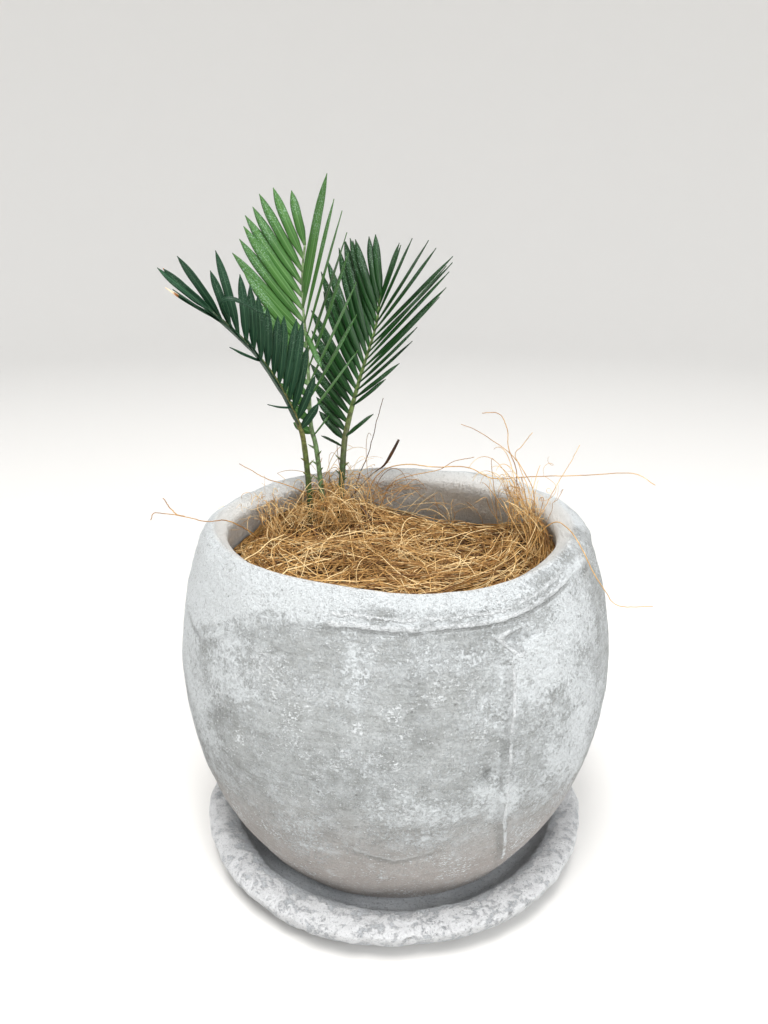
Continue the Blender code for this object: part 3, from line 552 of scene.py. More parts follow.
def hand_shaped(place):
    """A point of the turned pot moved to where the hand-finished one has it."""
    radius = math.hypot(place.x, place.y)
    turn = math.atan2(place.y, place.x)
    middle = WALL_MIDDLE_R - (place.z - MOUTH_SHIFT_FROM_Z) * WALL_MIDDLE_FALL
    inside = smooth_step(middle + WALL_HALF, middle - WALL_HALF, radius)
    rise = smooth_step(MOUTH_SHIFT_FROM_Z, POT_TOP_Z, place.z)
    lip = smooth_step(LIP_FROM_Z, POT_TOP_Z, place.z) * smooth_step(45 * MM, 52 * MM, radius)
    swell = 1 + SWELL * rough(place, SWELL_SCALE) * smooth_step(20 * MM, 50 * MM, radius)
    wave = sum(size * math.sin(count * turn + start) for count, start, size in LIP_WAVES)
    moved = Vector((place.x * swell, place.y * swell, place.z + wave * lip))
    return moved + MOUTH_SHIFT * (rise * inside)


def turned_grid(profile, steps):
    """Points of a profile of (radius, height) turned round Z, as an array of rings, with outward normals."""
    profile = np.array(profile)
    along = np.roll(profile, -1, axis=0) - np.roll(profile, 1, axis=0)
    facing = np.stack([along[:, 1], -along[:, 0]], axis=1)
    facing /= np.linalg.norm(facing, axis=1, keepdims=True)
    turns = np.arange(steps) * 2 * math.pi / steps + math.pi / 2
    flat = np.stack([np.cos(turns), np.sin(turns)], axis=1)

    def spun(pairs):
        level = np.repeat(pairs[:, None, 1:2], steps, axis=1)
        return np.concatenate([pairs[:, None, 0:1] * flat[None], level], axis=2)

    return spun(profile), spun(facing), turns


def ring_faces(rings, steps, closed):
    """Quads between neighbouring rings, and from the last back to the first where closed."""
    index = np.arange(rings * steps).reshape(rings, steps)
    low = index if closed else index[:-1]
    high = np.roll(index, -1, axis=0) if closed else index[1:]
    quads = np.stack([low, np.roll(low, -1, axis=1), np.roll(high, -1, axis=1), high], axis=-1)
    return quads.reshape(-1, 4).tolist()


def tube_faces(base, rings, corners):
    """The faces of a tube whose points start at a base: quads round it and its two ends."""
    faces = [[base + point for point in face] for face in ring_faces(rings, corners, False)]
    end = base + (rings - 1) * corners
    return faces + [list(range(base, base + corners))[::-1], list(range(end, end + corners))]


def half_turned(degrees):
    """The same angle between -180 and 180."""
    return (degrees + 180) % 360 - 180


def dent_inward(degrees, z_mm):
    """How far inside the four-sided dent a place is in mm, below 0 outside it."""
    depth = FAR_MM
    for (a0, z0), (a1, z1) in zip(DENT_MM, DENT_MM[1:] + DENT_MM[:1]):
        edge_a, edge_z = (a1 - a0) * MM_PER_DEGREE, z1 - z0
        across = (degrees - a0) * MM_PER_DEGREE * edge_z - (z_mm - z0) * edge_a
        depth = min(depth, across / math.hypot(edge_a, edge_z))
    return depth


def held(away, on):
    """A distance from a line that is far off where the line has ended, on the same side of it."""
    return away if on else math.copysign(FAR_MM, away)


class WallSpot:
    """A place on the outer wall of the pot, and how its marks change the wall there."""

    def __init__(self, place, turn):
        self.place = place
        self.z_mm = place.z / MM
        self.degrees = half_turned(math.degrees(turn))
        self.above_edge = self.z_mm - blend(LIP_EDGE_MM, self.degrees)
        self.from_seam = self.degrees - blend(SEAM, self.z_mm)
        self.from_crease = self.z_mm - blend(CREASE, self.degrees)
        self.crease_share = math.exp(-((self.degrees - CREASE_MIDDLE) / CREASE_HALF) ** 4)
        self.in_dent = dent_inward(self.degrees, self.z_mm)
        self.dent_share = smooth_step(-0.5, 1.6, self.in_dent)

    def rough(self, scale, shift=(0, 0, 0), tall=1):
        return rough(self.place, scale, shift, tall)

    def near(self, angle, height, wide, tall):
        """From 1 in the middle of an oval patch down to 0 outside it."""
        return bell(half_turned(self.degrees - angle) / wide) * bell((self.z_mm - height) / tall)

    def seam_share(self, beside=0.0, wide=0.8):
        """How close the place is to the seam, or to a line beside it, from 0 to 1."""
        low, high = SEAM[0][0], SEAM[-1][0]
        ends = smooth_step(low - 4, low + 10, self.z_mm) * smooth_step(high + 2, high - 5, self.z_mm)
        return bell((self.from_seam + beside) / wide) * ends

    def relief(self):
        """How far the wall stands out or in from its smooth form, in metres."""
        relief = 0.5 * self.rough(34) + 0.26 * self.rough(95) + 0.12 * self.rough(330)
        relief += 0.14 * self.rough(60, tall=7)
        above = self.above_edge - 0.7 * self.rough(70)
        relief += 0.45 * smooth_step(-0.5, 0.6, above) * (0.8 + 1.2 * self.rough(60))
        relief += 0.35 * bell((above - 0.7) / 0.8) * (0.3 + 1.4 * self.rough(110))
        relief -= 0.2 * bell((above + 1.8) / 1.3)
        relief += 0.65 * self.seam_share() * (0.6 + 1.3 * self.rough(190))
        relief -= 1.35 * self.dent_share + 1.4 * self.near(PIT_ANGLE, PIT_MM, 1.0, 2.3)
        relief -= 0.55 * bell(self.from_crease / 1.7) * self.crease_share
        return relief * MM

    def chalk(self):
        """How much white crust the wall carries, from 0 to 1."""
        broad = self.rough(30, (2, 7, 1), 2.5)
        ragged = self.above_edge + 5 * self.rough(48, (7, 3, 3))
        reach = 5 + 12 * smooth_step(-104, -128, self.degrees)
        level = 0.22 + (0.12 + 0.7 * broad) * smooth_step(-reach, 5, ragged)
        level += 0.60 * smooth_step(3, 9, self.above_edge)
        level -= 0.12 * bell((self.above_edge + 3) / 3) * smooth_step(-128, -108, self.degrees)
        level += 0.30 * bell((self.above_edge - 0.8) / 1.6) * max(0.0, 0.35 + 1.6 * self.rough(55))
        level += 0.25 * self.seam_share(wide=3.5) * max(0.0, 0.5 + 1.6 * self.rough(95))
        level += sum(amount * self.near(*patch) for *patch, amount in CHALK)
        level += 0.36 * self.rough(40, (5, 1, 2)) + 0.24 * self.rough(110)
        level += self.dent_share * (1.1 - 1.2 * self.dent_share) - 0.4 * smooth_step(52, 24, self.z_mm)
        return min(0.9, max(0.0, level))

    def crumbs(self):
        """How thick the small white crumbs lie on the wall, from 0 to 1."""
        level = 0.25 + 0.5 * smooth_step(0.15, 0.5, self.rough(90, (9, 4, 1)))
        return min(1.0, level + sum(self.near(angle, height, 1.6, 2) for angle, height in CRUMBS))

    def shade(self):
        """How much darker the wall is, from 0 to 1: painted shade under the lip edge, in the dent, the pit
        and the crease and beside the seam, with darker patches and some unevenness.
        """
        level = 0.55 * bell((self.above_edge + 1.7) / 1.2) * max(0.0, 0.6 + 1.5 * self.rough(60))
        level += 0.12 * self.dent_share + 0.45 * self.seam_share(1.9, 0.9)
        level += 0.9 * self.near(PIT_ANGLE, PIT_MM, 0.9, 2.1)
        level += 0.5 * bell(self.from_crease / 1.1) * self.crease_share
        uneven = 1 + 1.2 * self.rough(130)
        level += sum(amount * self.near(*patch) for *patch, amount in SHADES) * uneven
        return min(1.0, max(0.0, level + 0.45 * self.rough(52, (3, 8, 8))))

    def marks(self):
        """What the material has to know: amounts from 0 to 1, and distances in mm from the drawn lines."""
        return {
            "chalk": self.chalk(), "crumbs": self.crumbs(), "shade": self.shade(),
            "seam": held(self.from_seam * MM_PER_DEGREE, SEAM[0][0] < self.z_mm < SEAM[-1][0]),
            "edge": held(self.above_edge, LIP_EDGE_DRAWN[0] < self.degrees < LIP_EDGE_DRAWN[1]),
            "crease": held(self.from_crease, abs(self.degrees - CREASE_MIDDLE) <= CREASE_HALF),
            "dent": self.in_dent if self.degrees < DENT_DRAWN_TO else -FAR_MM,
        }


def inner_relief(place):
    """How far the inner wall, which shows finer brushing, stands out or in."""
    return (0.3 * rough(place, 60) + 0.14 * rough(place, 200) + 0.2 * rough(place, 50, tall=10)) * MM


def pot_rings():
    """The profile of the pot as a closed ring of (radius, height), with the numbers of its outer rings."""
    outer = smooth_line([(r, 0, z) for r, z in POT_OUTER_MM + [POT_CREST_MM]], POT_OUTER_SPLITS)
    inner = smooth_line([(r, 0, z) for r, z in [POT_CREST_MM] + POT_INNER_MM], POT_INNER_SPLITS)
    profile = [(DRAIN_R, POT_FLOOR_Z), (DRAIN_R, POT_FOOT_Z), (POT_FOOT_R - 4 * MM, POT_FOOT_Z)]
    profile += [(POT_FOOT_R, POT_FOOT_Z), (POT_FOOT_R + 0.9 * MM, POT_FOOT_Z + 0.5 * MM)]
    first = len(profile)
    profile += [(p.x * MM, p.z * MM) for p in outer]
    last = len(profile)
    profile += [(p.x * MM, p.z * MM) for p in inner[1:]]
    profile += [(r * MM, z * MM) for r, z in POT_FLOOR_EDGE_MM]
    return profile, first, last


def make_pot():
    profile, first, last = pot_rings()
    grid, facing, turns = turned_grid(profile, POT_STEPS)
    size = grid.shape[:2]
    marks = {name: np.zeros(size) for name in ("chalk", "crumbs", "shade", "inside")}
    marks |= {name: np.full(size, FAR_MM) for name in ("seam", "edge", "crease")}
    marks["dent"] = np.full(size, -FAR_MM)
    for ring, (_, level) in enumerate(profile):
        fade = smooth_step(0, 3, ring - first) * smooth_step(0, 3, len(profile) - 1 - ring)
        inner_share = smooth_step(last - 8, last + 4, ring)
        marks["inside"][ring] = inner_share
        if ring >= last:
            marks["chalk"][ring] = 0.72 * smooth_step(114, 122, level / MM) + 0.12
        for step, turn in enumerate(turns):
            flat = Vector(grid[ring, step])
            spot = WallSpot(flat, turn)
            relief = spot.relief() * (1 - inner_share) + inner_relief(flat) * inner_share
            grid[ring, step] = hand_shaped(flat + Vector(facing[ring, step]) * (relief * fade))
            if first <= ring < last:
                for name, value in spot.marks().items():
                    marks[name][ring, step] = value
    faces = ring_faces(len(profile), POT_STEPS, True)
    new_piece("pot_cement_shell", grid.reshape(-1, 3), faces, cement_look(), "pot_cement", ["pot"], marks)


def thin_line(away, middle, wide, wander, strength=1.0):
    """A line where a distance in mm has a value, that wanders and fades in places."""
    look = away.look
    spot = abs(away - middle + (look.noise(2.4, 4.0, 0.7) - 0.5) * wander)
    return spot.ramp(wide * 0.4, wide, strength, 0.0) * look.noise(3.6, 3.0, 0.6).ramp(0.34, 0.52)


def cement_look():
    """Grey cement, brushed level, with a grainy white crust, crumbs and small pits, and painted shade under
    the lip and in its pits, cuts, dent, crease and grain.
    """
    look = Look("pot_cement_look", 0.9)
    chalk_at, shade, seam, edge, dent, crease = [
        look.attribute(name) for name in ("chalk", "shade", "seam", "edge", "dent", "crease")]
    streaks = look.noise(0.8, 5.0, 0.62, flat=11.0)
    grain = look.noise(0.5, 3.0, 0.7)
    grit = look.noise(1.1, 6.0, 0.80)
    height = look.wired(look.new("SeparateXYZ"), "Z", {0: look.place})
    grey = look.layered(
        CEMENT_DARK,
        (look.noise(24, 4.0, 0.55).ramp(0.34, 0.66), CEMENT_LIGHT),
        (look.noise(15, 3.0, 0.55, flat=0.45).ramp(0.50, 0.66, 0.0, 0.40), CEMENT_PALE),
        (look.noise(5.5, 4.0, 0.6, flat=1.6).ramp(0.40, 0.66, 0.0, 0.42), CEMENT_PALE),
        (streaks.ramp(0.42, 0.70, 0.0, 0.5), CEMENT_PALE),
        (streaks.ramp(0.30, 0.47, 0.32, 0.0), CEMENT_SHADE),
        (height.ramp(20 * MM, 70 * MM, 0.75, 0.0), CEMENT_WARM),
        # Painted shade from the wall's shade numbers.
        (shade * 0.35, CEMENT_SHADE))
    soft_level = look.noise(4.2, 6.0, 0.66, flat=1.25) + chalk_at * 0.34
    crust_level = grit + chalk_at * 0.26 + (soft_level - 0.6) * 0.25
    white = most(soft_level.ramp(0.52, 0.90, 0.0, 0.80), crust_level.ramp(0.565, 0.66, 0.0, 0.86))
    crumbs = (look.noise(0.7, 3.0, 0.7, flat=1.5) + look.attribute("crumbs") * 0.15).ramp(0.648, 0.668)
    ridges = most(thin_line(seam, 0.0, 0.85, 0.7), thin_line(edge, 0.3, 0.9, 1.6),
                  thin_line(edge, 2.8, 0.6, 3.0), thin_line(crease, 1.5, 1.2, 2.0, 0.4),
                  thin_line(dent, -0.9, 0.9, 0.9))
    # Cuts: lines sunk into the relief beside the seam, under the lip edge, inside the dent's edge and along
    # the crease; their dark colour is painted shade.
    cuts = most(thin_line(seam, -1.9, 1.8, 2.4, 0.45), thin_line(edge, -0.9, 0.7, 1.6, 0.8),
                thin_line(dent, 0.5, 1.4, 1.6, 0.6), thin_line(crease, 0.0, 1.4, 2.0, 0.4))
    # Small pits, sunk in the relief in scattered patches and painted dark as the shade inside them.
    hollow_edge = look.cells(2.8) + look.noise(0.6, 2.0) * 0.30
    hollows = hollow_edge.ramp(0.23, 0.29, 1.0, 0.0) * look.noise(9, 2.0).ramp(0.54, 0.64)
    # More painted shade where the shade numbers are high: under the lip edge, in the dent, pit and crease,
    # beside the seam, and in the darker patches.
    dark_marks = shade.ramp(0.25, 0.9, 0.0, 0.55) * look.noise(0.8, 4.0, 0.8).ramp(0.30, 0.55)
    # The dark specks from grain and from this finer pattern are painted shade of the small relief.
    painted_grain_shade = look.noise(1.2, 5.0, 0.8, flat=1.2) - chalk_at * 0.03
    colour = look.layered(
        grey,
        (white, CEMENT_CHALK),
        (dark_marks, CEMENT_SHADE),
        (most(crumbs, ridges), CEMENT_CRUMB),
        (cuts * 0.62, CEMENT_SHADE),
        (hollows * 0.6, CEMENT_HOLLOW_SHADE),
        (grain.ramp(0.34, 0.46, 0.40, 0.0), CEMENT_SHADE),
        (painted_grain_shade.ramp(0.33, 0.42, 0.45, 0.0), CEMENT_SHADE),
        # Painted light: the inner wall is made much paler than the outer one, to make up for the little light
        # deep inside.
        (look.attribute("inside") * 0.82, CEMENT_INSIDE_PAINTED_LIGHT))
    relief = white * 0.5 + grit * 1.6 + crumbs * 2.2 + grain * 0.9 + streaks * 0.5
    return look.finish(colour, relief + ridges - cuts - hollows * 1.2, 0.85)


def saucer_profile():
    """The saucer from the middle of its floor over the rim to the middle of its underside."""
    rim_mid = (SAUCER_RIM_R + SAUCER_RIM_INNER_R) / 2
    rim_half = (SAUCER_RIM_R - SAUCER_RIM_INNER_R) / 2
    line = [(share * SAUCER_FLOOR_R, SAUCER_FLOOR_Z) for share in (0.02, 0.5, 0.85, 0.92, 0.97, 1.0)]
    line += [(SAUCER_FLOOR_R + 1.4 * MM, SAUCER_FLOOR_Z + 1.0 * MM)]
    line += [(SAUCER_FLOOR_R + 2.7 * MM, SAUCER_FLOOR_Z + 2.3 * MM)]
    for step in range(1, SAUCER_RIM_STEPS):
        turn = math.pi * (1 - step / SAUCER_RIM_STEPS)
        rise = SAUCER_RIM_ARCH * (math.sin(turn) - 1)
        line.append((rim_mid + rim_half * math.cos(turn), SAUCER_H + rise))
    for step in range(1, 9):
        share = step / 8
        radius = SAUCER_RIM_R - 0.1 * MM - 8.6 * MM * share**1.8
        line.append((radius, (SAUCER_H - SAUCER_RIM_ARCH) * (1 - share) + 0.2 * MM * share))
    line += [(SAUCER_FOOT_R - 0.4 * MM, 0.0)]
    line += [(share * SAUCER_FOOT_R, 0.0) for share in (0.9, 0.5, 0.02)]
    return line


def saucer_relief(place, turn):
    relief = 0.65 * rough(place, 45) + 0.50 * rough(place, 120)
    relief += 0.36 * rough(place, 260) + 0.22 * rough(place, 520)
    return (relief + 0.5 * rough(Vector((math.cos(turn), math.sin(turn), 0.0)), 6.0)) * MM


def make_saucer():
    profile = saucer_profile()
    grid, facing, turns = turned_grid(profile, SAUCER_STEPS)
    crust = np.zeros(grid.shape[:2])
    for ring, (radius, level) in enumerate(profile):
        craggy = smooth_step(SAUCER_FLOOR_R, SAUCER_RIM_INNER_R + 1.5 * MM, radius)
        craggy *= smooth_step(0.6 * MM, 4 * MM, level)
        top = smooth_step(SAUCER_FLOOR_R + 3 * MM, SAUCER_RIM_INNER_R + 5.5 * MM, radius)
        crust[ring] = (0.18 + 0.62 * top) * (0.4 + 0.6 * smooth_step(3 * MM, 9 * MM, level))
        swelling = SWELL * smooth_step(SAUCER_FOOT_R, SAUCER_RIM_R, radius)
        for step, turn in enumerate(turns):
            place = Vector(grid[ring, step])
            swell = 1 + swelling * rough(place, SWELL_SCALE)
            moved = place + Vector(facing[ring, step]) * (saucer_relief(place, turn) * craggy)
            grid[ring, step] = (moved.x * swell, moved.y * swell, max(0.0, moved.z))
    faces = [face[::-1] for face in tube_faces(0, len(profile), SAUCER_STEPS)]
    new_piece("saucer_cement_dish", grid.reshape(-1, 3), faces, saucer_look(), "saucer_cement", ["saucer"],
              {"chalk": crust})


def saucer_look():
    """Blue-grey cement under a coarse white crust."""
    look = Look("saucer_cement_look", 0.92)
    chalk_at = look.attribute("chalk")
    grain = look.noise(0.6, 3.0, 0.72)
    crust = look.noise(1.8, 6.0, 0.80)
    soft_level = look.noise(4.0, 6.0, 0.68) + chalk_at * 0.30
    crust_level = crust + chalk_at * 0.20 + (soft_level - 0.71) * 0.9
    chalk = most(crust_level.ramp(0.57, 0.64), soft_level.ramp(0.52, 0.90, 0.0, 0.50))
    colour = look.layered(
        SAUCER_DARK,
        (look.noise(14, 3.0).ramp(0.35, 0.65), SAUCER_LIGHT),
        (chalk * 0.97, SAUCER_CHALK),
        (grain.ramp(0.34, 0.45, 0.45, 0.0), SAUCER_GRAIN))
    return look.finish(colour, chalk * 0.6 + grain * 0.6 + crust * 2.2, 1.0)


def coir_height(x, y):
    """The level of the coir mat at a place, all in metres."""
    level = COIR_LEVEL
    for cx, cy, wide, deep, height in COIR_RISES_MM:
        away = ((x / MM - cx) / wide) ** 2 + ((y / MM - cy) / deep) ** 2
        level += height * MM * math.exp(-away / 2)
    return level + COIR_LUMPS * rough(Vector((x, y, 0)), COIR_LUMP_SCALE)


def crossways(lines):
    """For lines of shape (count, points, 3), two directions square to each line at each of its points."""
    run = np.gradient(lines, axis=1)
    run /= np.maximum(np.linalg.norm(run, axis=2, keepdims=True), 1e-12)
    side = np.cross(run[:, 0], np.array((0.31, -0.87, 0.38)))
    sides = np.empty_like(lines)
    for step in range(lines.shape[1]):
        ahead = run[:, step]
        side = side - ahead * (side * ahead).sum(axis=1, keepdims=True)
        side /= np.maximum(np.linalg.norm(side, axis=1, keepdims=True), 1e-12)
        sides[:, step] = side
    return sides, np.cross(run, sides)


def fibre_mesh(lines, radii, corners):
    """Points and faces of thin closed tubes along lines, with radii of shape (count, points)."""
    across, up = crossways(lines)
    turns = np.arange(corners) * 2 * math.pi / corners
    spokes = across[:, :, None] * np.cos(turns)[:, None] + up[:, :, None] * np.sin(turns)[:, None]
    rings = lines[:, :, None] + spokes * radii[:, :, None, None]
    count, points = lines.shape[:2]
    index = np.arange(count * points * corners).reshape(count, points, corners)
    low, high = index[:, :-1], index[:, 1:]
    quads = np.stack([low, np.roll(low, -1, 2), np.roll(high, -1, 2), high], axis=-1).reshape(-1, 4)
    faces = quads.tolist() + index[:, 0, ::-1].tolist() + index[:, -1].tolist()
    return rings.reshape(-1, 3), faces


def mat_routes(draw, count, points, length_mm, depth_mm, lift_mm):
    """Routes of fibres that wander in the surface of the mat, mostly round it near its edge."""
    turn = draw.uniform(0, 2 * math.pi, count)
    start = COIR_REACH * np.sqrt(draw.random(count))
    spot = np.stack([start * np.cos(turn), start * np.sin(turn)], axis=1)
    around = turn + math.pi / 2 * np.where(draw.random(count) < 0.5, 1, -1) + draw.normal(0, 0.3, count)
    rounds = draw.random(count) < 0.25 + 0.65 * (start / COIR_REACH) ** 2
    heading = np.where(rounds, around, draw.uniform(0, 2 * math.pi, count))
    stride = draw.uniform(*length_mm, count) * MM / (points - 1)
    curl = draw.normal(0, 1.7, count) / points
    flat = np.empty((count, points, 2))
    for step in range(points):
        away = np.linalg.norm(spot, axis=1)
        out = away > COIR_REACH
        spot[out] *= (COIR_REACH / away[out])[:, None]
        ahead = np.arctan2(spot[:, 1], spot[:, 0]) + math.pi / 2
        against = np.cos(heading - ahead) < 0
        heading = np.where(out, ahead + math.pi * against, heading)
        flat[:, step] = spot
        spot = spot + np.stack([np.cos(heading), np.sin(heading)], axis=1) * stride[:, None]
        heading = heading + curl + draw.normal(0, 0.16, count)
    share = np.linspace(0, 1, points)[None]
    arch = np.sin(math.pi * share)
    depth = draw.uniform(*depth_mm, (count, 1))
    lift = draw.uniform(*lift_mm, (count, 1)) * draw.random((count, 1))
    ripple = 0.45 * np.sin(2 * math.pi * (share * draw.uniform(1, 3.5, (count, 1)) + draw.random((count, 1))))
    return on_mat(flat, (lift * arch - depth - 1.6 * (1 - arch) ** 3 + ripple) * MM)


def on_mat(flat, offset):
    """Lines that follow the top of the mat, with flat places and the height above it at each point."""
    count, points = flat.shape[:2]
    lines = np.empty((count, points, 3))
    for number in range(count):
        for step in range(points):
            x, y = flat[number, step]
            edge = smooth_step(COIR_REACH - COIR_EDGE_WIDTH, COIR_REACH, math.hypot(x, y))
            height = coir_height(x, y) + offset[number, step] - COIR_EDGE_DROP * edge
            lines[number, step] = hand_shaped(Vector((x, y, height)))
    return lines


def sweep_routes(draw, count, spread, route, points):
    """Routes of fibres that share a part of one route, side by side."""
    guide = as_array(even_line(smooth_line(route, 10), 100))
    run = np.gradient(guide[:, :2], axis=0)
    side = np.stack([-run[:, 1], run[:, 0]], axis=1) / np.linalg.norm(run, axis=1)[:, None]
    first = draw.uniform(-0.1, 0.55, count).clip(0)
    last = np.minimum(1, first + draw.uniform(0.3, 0.8, count))
    share = first[:, None] + (last - first)[:, None] * np.linspace(0, 1, points)
    index = (share * 100).round().astype(int)
    offset = draw.normal(0, spread[0], (count, 1))
    offset = offset * (0.6 + 0.4 * np.cos(3 * share + draw.random((count, 1)) * 6))
    wave = draw.normal(0, 0.8, (count, 1)) * np.sin(share * 18 + draw.random((count, 1)) * 6)
    flat = guide[index][..., :2] + side[index] * (offset + wave)[..., None]
    away = np.linalg.norm(flat, axis=2, keepdims=True)
    reach = COIR_REACH / MM
    flat = np.where(away > reach, flat * (reach / away), flat)
    arch = np.sin(math.pi * np.linspace(0, 1, points))[None]
    rise = guide[index][..., 2] * draw.uniform(0.3, 1.1, (count, 1)) + draw.normal(0.3, spread[1], (count, 1))
    rise += 0.4 * np.sin(share * 26 + draw.random((count, 1)) * 6) - 1.8 * (1 - arch) ** 3
    return on_mat(flat * MM, rise * MM)


def fluff_routes(draw, count, middle, spread, low, high, points):
    """Routes of fine curls that hang in the tangle above the mat."""
    place = np.array(middle) + draw.normal(0, 0.6, (count, 3)) * spread
    heading = draw.normal(0, 1, (count, 3)) * np.array((1.0, 1.0, 0.55))
    turning = draw.normal(0, 1, (count, 3))
    length = draw.uniform(low, high, (count, 1)) / points
    curl = draw.uniform(0.08, 0.30, (count, 1))
    lines = np.empty((count, points, 3))
    for step in range(points):
        heading /= np.linalg.norm(heading, axis=1, keepdims=True)
        lines[:, step] = place
        place = place + heading * length
        heading = heading + np.cross(turning, heading) * curl + draw.normal(0, 0.10, (count, 3))
    return lines * MM


def arch_routes(draw, count, start, start_spread, end, end_spread, rise, points):
    """Routes of fibres that leave the mat and arch over to a place in or above it."""
    first = np.array(start) + draw.normal(0, 0.6, (count, 3)) * start_spread
    last = np.array(end) + draw.normal(0, 0.6, (count, 3)) * end_spread
    lift = draw.uniform(*rise, (count, 1)) * np.array((0.0, 0.0, 1.0))
    sway = draw.normal(0, 3.5, (2, count, 3)) * np.array((1.0, 1.0, 0.35))
    near = first + (last - first) * 0.25 + lift * 0.7 + sway[0]
    far = first + (last - first) * 0.75 + lift + sway[1]
    t = np.linspace(0, 1, points)[None, :, None]
    lines = ((1 - t) ** 3 * first[:, None] + 3 * (1 - t) ** 2 * t * near[:, None]
             + 3 * (1 - t) * t**2 * far[:, None] + t**3 * last[:, None])
    centre = np.array((MOUTH_SHIFT.x, MOUTH_SHIFT.y)) / MM
    flat = lines[..., :2] - centre
    away = np.linalg.norm(flat, axis=2, keepdims=True)
    reach = COIR_REACH / MM
    in_pot = (away > reach) & (lines[..., 2:] < POT_TOP_Z / MM + 2.5)
    lines[..., :2] = np.where(in_pot, flat * (reach / away), flat) + centre
    return lines * MM


def make_mat_core(look):
    """The dark bed of packed fibre that shows between the strands; its very dark tone is partly painted shade
    deep in the mat.
    """
    rings, steps = 26, 120
    reach = COIR_REACH + 0.6 * MM
    points = [hand_shaped(Vector((0, 0, coir_height(0, 0) - 2 * MM)))]
    for ring in range(1, rings + 2):
        radius = reach * min(ring, rings) / rings
        edge = smooth_step(COIR_REACH - COIR_EDGE_WIDTH, COIR_REACH, radius)
        for step in range(steps):
            turn = 2 * math.pi * step / steps
            x, y = radius * math.cos(turn), radius * math.sin(turn)
            fold = 0.9 * rough(Vector((x, y, 0)), 420) + 0.5 * rough(Vector((x, y, 9)), 900)
            height = coir_height(x, y) - (2.2 - fold) * MM - COIR_EDGE_DROP * edge
            points.append(hand_shaped(Vector((x, y, height if ring <= rings else COIR_BED_Z))))
    base, last = len(points) - steps, len(points)
    points.append(Vector((0, 0, COIR_BED_Z)))
    faces = [[1 + point for point in face[::-1]] for face in ring_faces(rings + 1, steps, False)]
    for step in range(steps):
        after = (step + 1) % steps
        faces += [[0, 1 + step, 1 + after], [base + step, last, base + after]]
    # Very low tones: partly packed fibre, partly painted shade between the strands.
    tone = [0.07 + 0.07 * rough(p, 300) for p in points]
    new_piece("coir_bed", as_array(points), faces, look, "coir", ["coir_mat"], {"tone": tone})


def make_coir():
    """The bed, the fibres that run in it and out of it, the loose strands and the pieces of husk."""
    look = Look("coir_look", 0.55)
    mottle = (look.noise(2.5, 3.0) - 0.5) * 0.45 + (look.noise(9, 2.0) - 0.54) * 0.9
    tone = look.math("ADD", look.attribute("tone"), mottle, clamp=True)
    look.finish(look.colours(tone, COIR_COLOURS))
    make_mat_core(look.material)
    draw = np.random.default_rng(COIR_SEED)
    for name, batch, radius_mm, tones in MAT_BATCHES:
        add_fibres(draw, name, mat_routes(draw, *batch), radius_mm, tones, look)
    tangles = [("coir_sweeping", sweep_routes, SWEEPS_MM, 40, (0.12, 0.21), (0.42, 1.0)),
               ("coir_arching", arch_routes, ARCHES_MM, 22, (0.08, 0.16), (0.58, 1.08)),
               ("coir_fluff", fluff_routes, FLUFF_MM, 18, (0.05, 0.10), (0.68, 1.12))]
    for name, routes, rows, points, radius_mm, tones in tangles:
        lines = np.concatenate([routes(draw, *row, points) for row in rows])
        add_fibres(draw, name, lines, radius_mm, tones, look)
    lines = np.array([even_route(points, LOOSE_POINTS) for points in LOOSE_STRANDS_MM.values()])
    drift = np.cumsum(draw.normal(0, 0.05, lines.shape), axis=1) * MM
    lines += drift - np.linspace(0, 1, LOOSE_POINTS)[None, :, None] * drift[:, -1:]
    radii = draw.uniform(*LOOSE_RADIUS_MM, (len(lines), 1)) * MM * np.linspace(1.0, 0.6, LOOSE_POINTS)[None]
    tones = [0.2 if name in DARK_STRANDS else draw.uniform(0.6, 0.85) for name in LOOSE_STRANDS_MM]
    add_tubes("coir_loose_fibres", lines, radii, 6, tones, look)
    lines = np.array([even_route(points, HUSK_POINTS) for points, _ in HUSKS_MM])
    radii = []
    for _, halves in HUSKS_MM:
        widths = smooth_line([(half, 0, 0) for half in halves], 12)
        shares = [step / (HUSK_POINTS - 1) for step in range(HUSK_POINTS)]
        radii.append([widths[round(share * (len(widths) - 1))].x * MM for share in shares])
    add_tubes("coir_husk_pieces", lines, np.array(radii), 6, [0.14] * len(lines), look)


def even_route(points, count):
    """Evenly spaced points on a smooth curve through points in mm."""
    return as_array(even_line(smooth_line(in_metres(points), 12), count - 1))


def add_tubes(name, lines, radii, corners, tones, look):
    """One piece of many strands along lines, with given radii and a tone for each strand."""
    verts, faces = fibre_mesh(lines, radii, corners)
    tone = np.repeat(tones, lines.shape[1] * corners)
    new_piece(name, verts, faces, look.material, "coir", ["coir_mat"], {"tone": tone})


def add_fibres(draw, name, lines, radius_mm, tones, look):
    """One piece of thin fibres that thin out toward both ends, each with a radius and tone of its own."""
    count, points = lines.shape[:2]
    form = 0.55 + 0.45 * np.sin(math.pi * np.linspace(0, 1, points)) ** 0.5
    radii = draw.uniform(*radius_mm, (count, 1)) * MM * form[None]
    add_tubes(name + "_fibres", lines, radii, 3, draw.uniform(*tones, count), look)


def stalk_frame(line, faces, share):
    """The place on a stalk at a share of its length, with its run, its upper side and its right side."""
    spot = share * (len(line) - 1)
    index = min(int(spot), len(line) - 2)
    place = line[index].lerp(line[index + 1], spot - index)
    run = (line[index + 1] - line[index]).normalized()
    upper = Vector(faces[0]).lerp(Vector(faces[1]), share)
    upper = (upper - run * upper.dot(run)).normalized()
    return place, run, upper, run.cross(upper)


